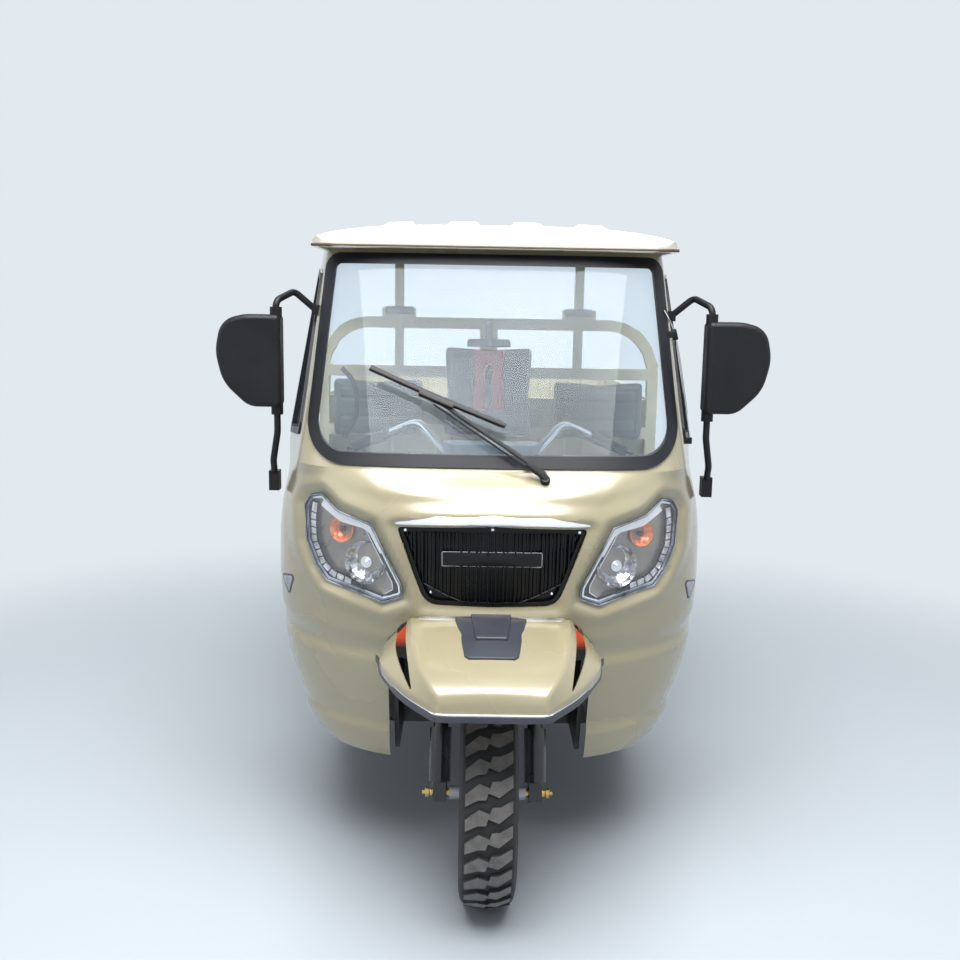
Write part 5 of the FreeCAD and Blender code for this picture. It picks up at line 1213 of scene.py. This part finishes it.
scene.view_settings.view_transform = "Standard"
lampSettings = [   # name, place, aimed at, size, watts, colour
    ("lampTop", (0.0, -2.4, 4.4), (0.0, -0.8, 0.9), 3.4, 345.0, (1.0, 1.0, 1.0)),
    ("lampLeft", (-3.8, -2.4, 2.4), (0.0, -0.8, 0.9), 2.0, 18.0, (0.97, 0.98, 1.0)),
    ("lampRight", (3.8, -2.4, 2.4), (0.0, -0.8, 0.9), 2.0, 10.0, (0.97, 0.98, 1.0)),
    ("lampBack", (0.0, 4.4, 3.6), (0.0, 0.6, 0.9), 3.0, 90.0, (1.0, 1.0, 1.0)),
]
for name, place, aim, size, watts, color in lampSettings:
    light = bpy.data.lights.new(name, "AREA")
    light.shape, light.size, light.energy, light.color = "SQUARE", size, watts, color
    made = bpy.data.objects.new(name, light)
    scene.collection.objects.link(made)
    made.location = place
    made.rotation_euler = (Vector(aim) - Vector(place)).to_track_quat("-Z", "Y").to_euler()

backdropColor = tint(226, 233, 239)
stage = {"ambient": (0.92, 0.95, 1.0, 1.0), "strength": 0.26, "floor": (184, 192, 199), "rough": 0.7,
         "shift": (0.0, 0.45, 0.0), "fade": (1.7, 3.6)}


def seenDirectly(tree):
    # 1 where the eye, a mirror image or a view through glass meets the surface, and 0 where it only gives light
    path = node(tree, "LightPath").outputs
    both = node(tree, "Math", _operation="MAXIMUM")
    tree.links.new(path["Is Camera Ray"], both.inputs[0])
    tree.links.new(path["Is Glossy Ray"], both.inputs[1])
    every = node(tree, "Math", _operation="MAXIMUM")
    tree.links.new(both.outputs[0], every.inputs[0])
    tree.links.new(path["Is Transmission Ray"], every.inputs[1])
    return every.outputs[0]


world = bpy.data.worlds.new("studio")
scene.world = world
world.use_nodes = True
tree = world.node_tree
tree.nodes.clear()
ambient = node(tree, "Background", Color=stage["ambient"], Strength=stage["strength"])
backdrop = node(tree, "Background", Color=backdropColor, Strength=1.0)
mixed = node(tree, "MixShader")
tree.links.new(seenDirectly(tree), mixed.inputs[0])
tree.links.new(ambient.outputs[0], mixed.inputs[1])
tree.links.new(backdrop.outputs[0], mixed.inputs[2])
tree.links.new(mixed.outputs[0], node(tree, "OutputWorld").inputs[0])

floorMesh = bpy.data.meshes.new("floor")
floorMesh.from_pydata([(-14, -10, 0), (14, -10, 0), (14, 16, 0), (-14, 16, 0)], [], [(0, 1, 2, 3)])
floor = bpy.data.objects.new("floor", floorMesh)
floorFinish = bpy.data.materials.new("floorPale")
floorFinish.use_nodes = True
tree = floorFinish.node_tree
shader = tree.nodes["Principled BSDF"]
shader.inputs["Base Color"].default_value = tint(*stage["floor"])
shader.inputs["Roughness"].default_value = stage["rough"]
# the floor turns into the backdrop with its distance from the vehicle
place = node(tree, "Mapping", Vector=node(tree, "TexCoord").outputs["Object"], Location=stage["shift"])
distance = node(tree, "VectorMath", _operation="LENGTH")
tree.links.new(place.outputs["Vector"], distance.inputs[0])
far = node(tree, "Math", _operation="MULTIPLY")
tree.links.new(ranged(tree, distance.outputs["Value"], *stage["fade"], _interpolation_type="SMOOTHSTEP"),
               far.inputs[0])
tree.links.new(seenDirectly(tree), far.inputs[1])
glow = node(tree, "Emission", Color=backdropColor, Strength=1.0)
mixed = node(tree, "MixShader")
tree.links.new(far.outputs[0], mixed.inputs[0])
tree.links.new(shader.outputs[0], mixed.inputs[1])
tree.links.new(glow.outputs[0], mixed.inputs[2])
tree.links.new(mixed.outputs[0], tree.nodes["Material Output"].inputs[0])
floorMesh.materials.append(floorFinish)
scene.collection.objects.link(floor)
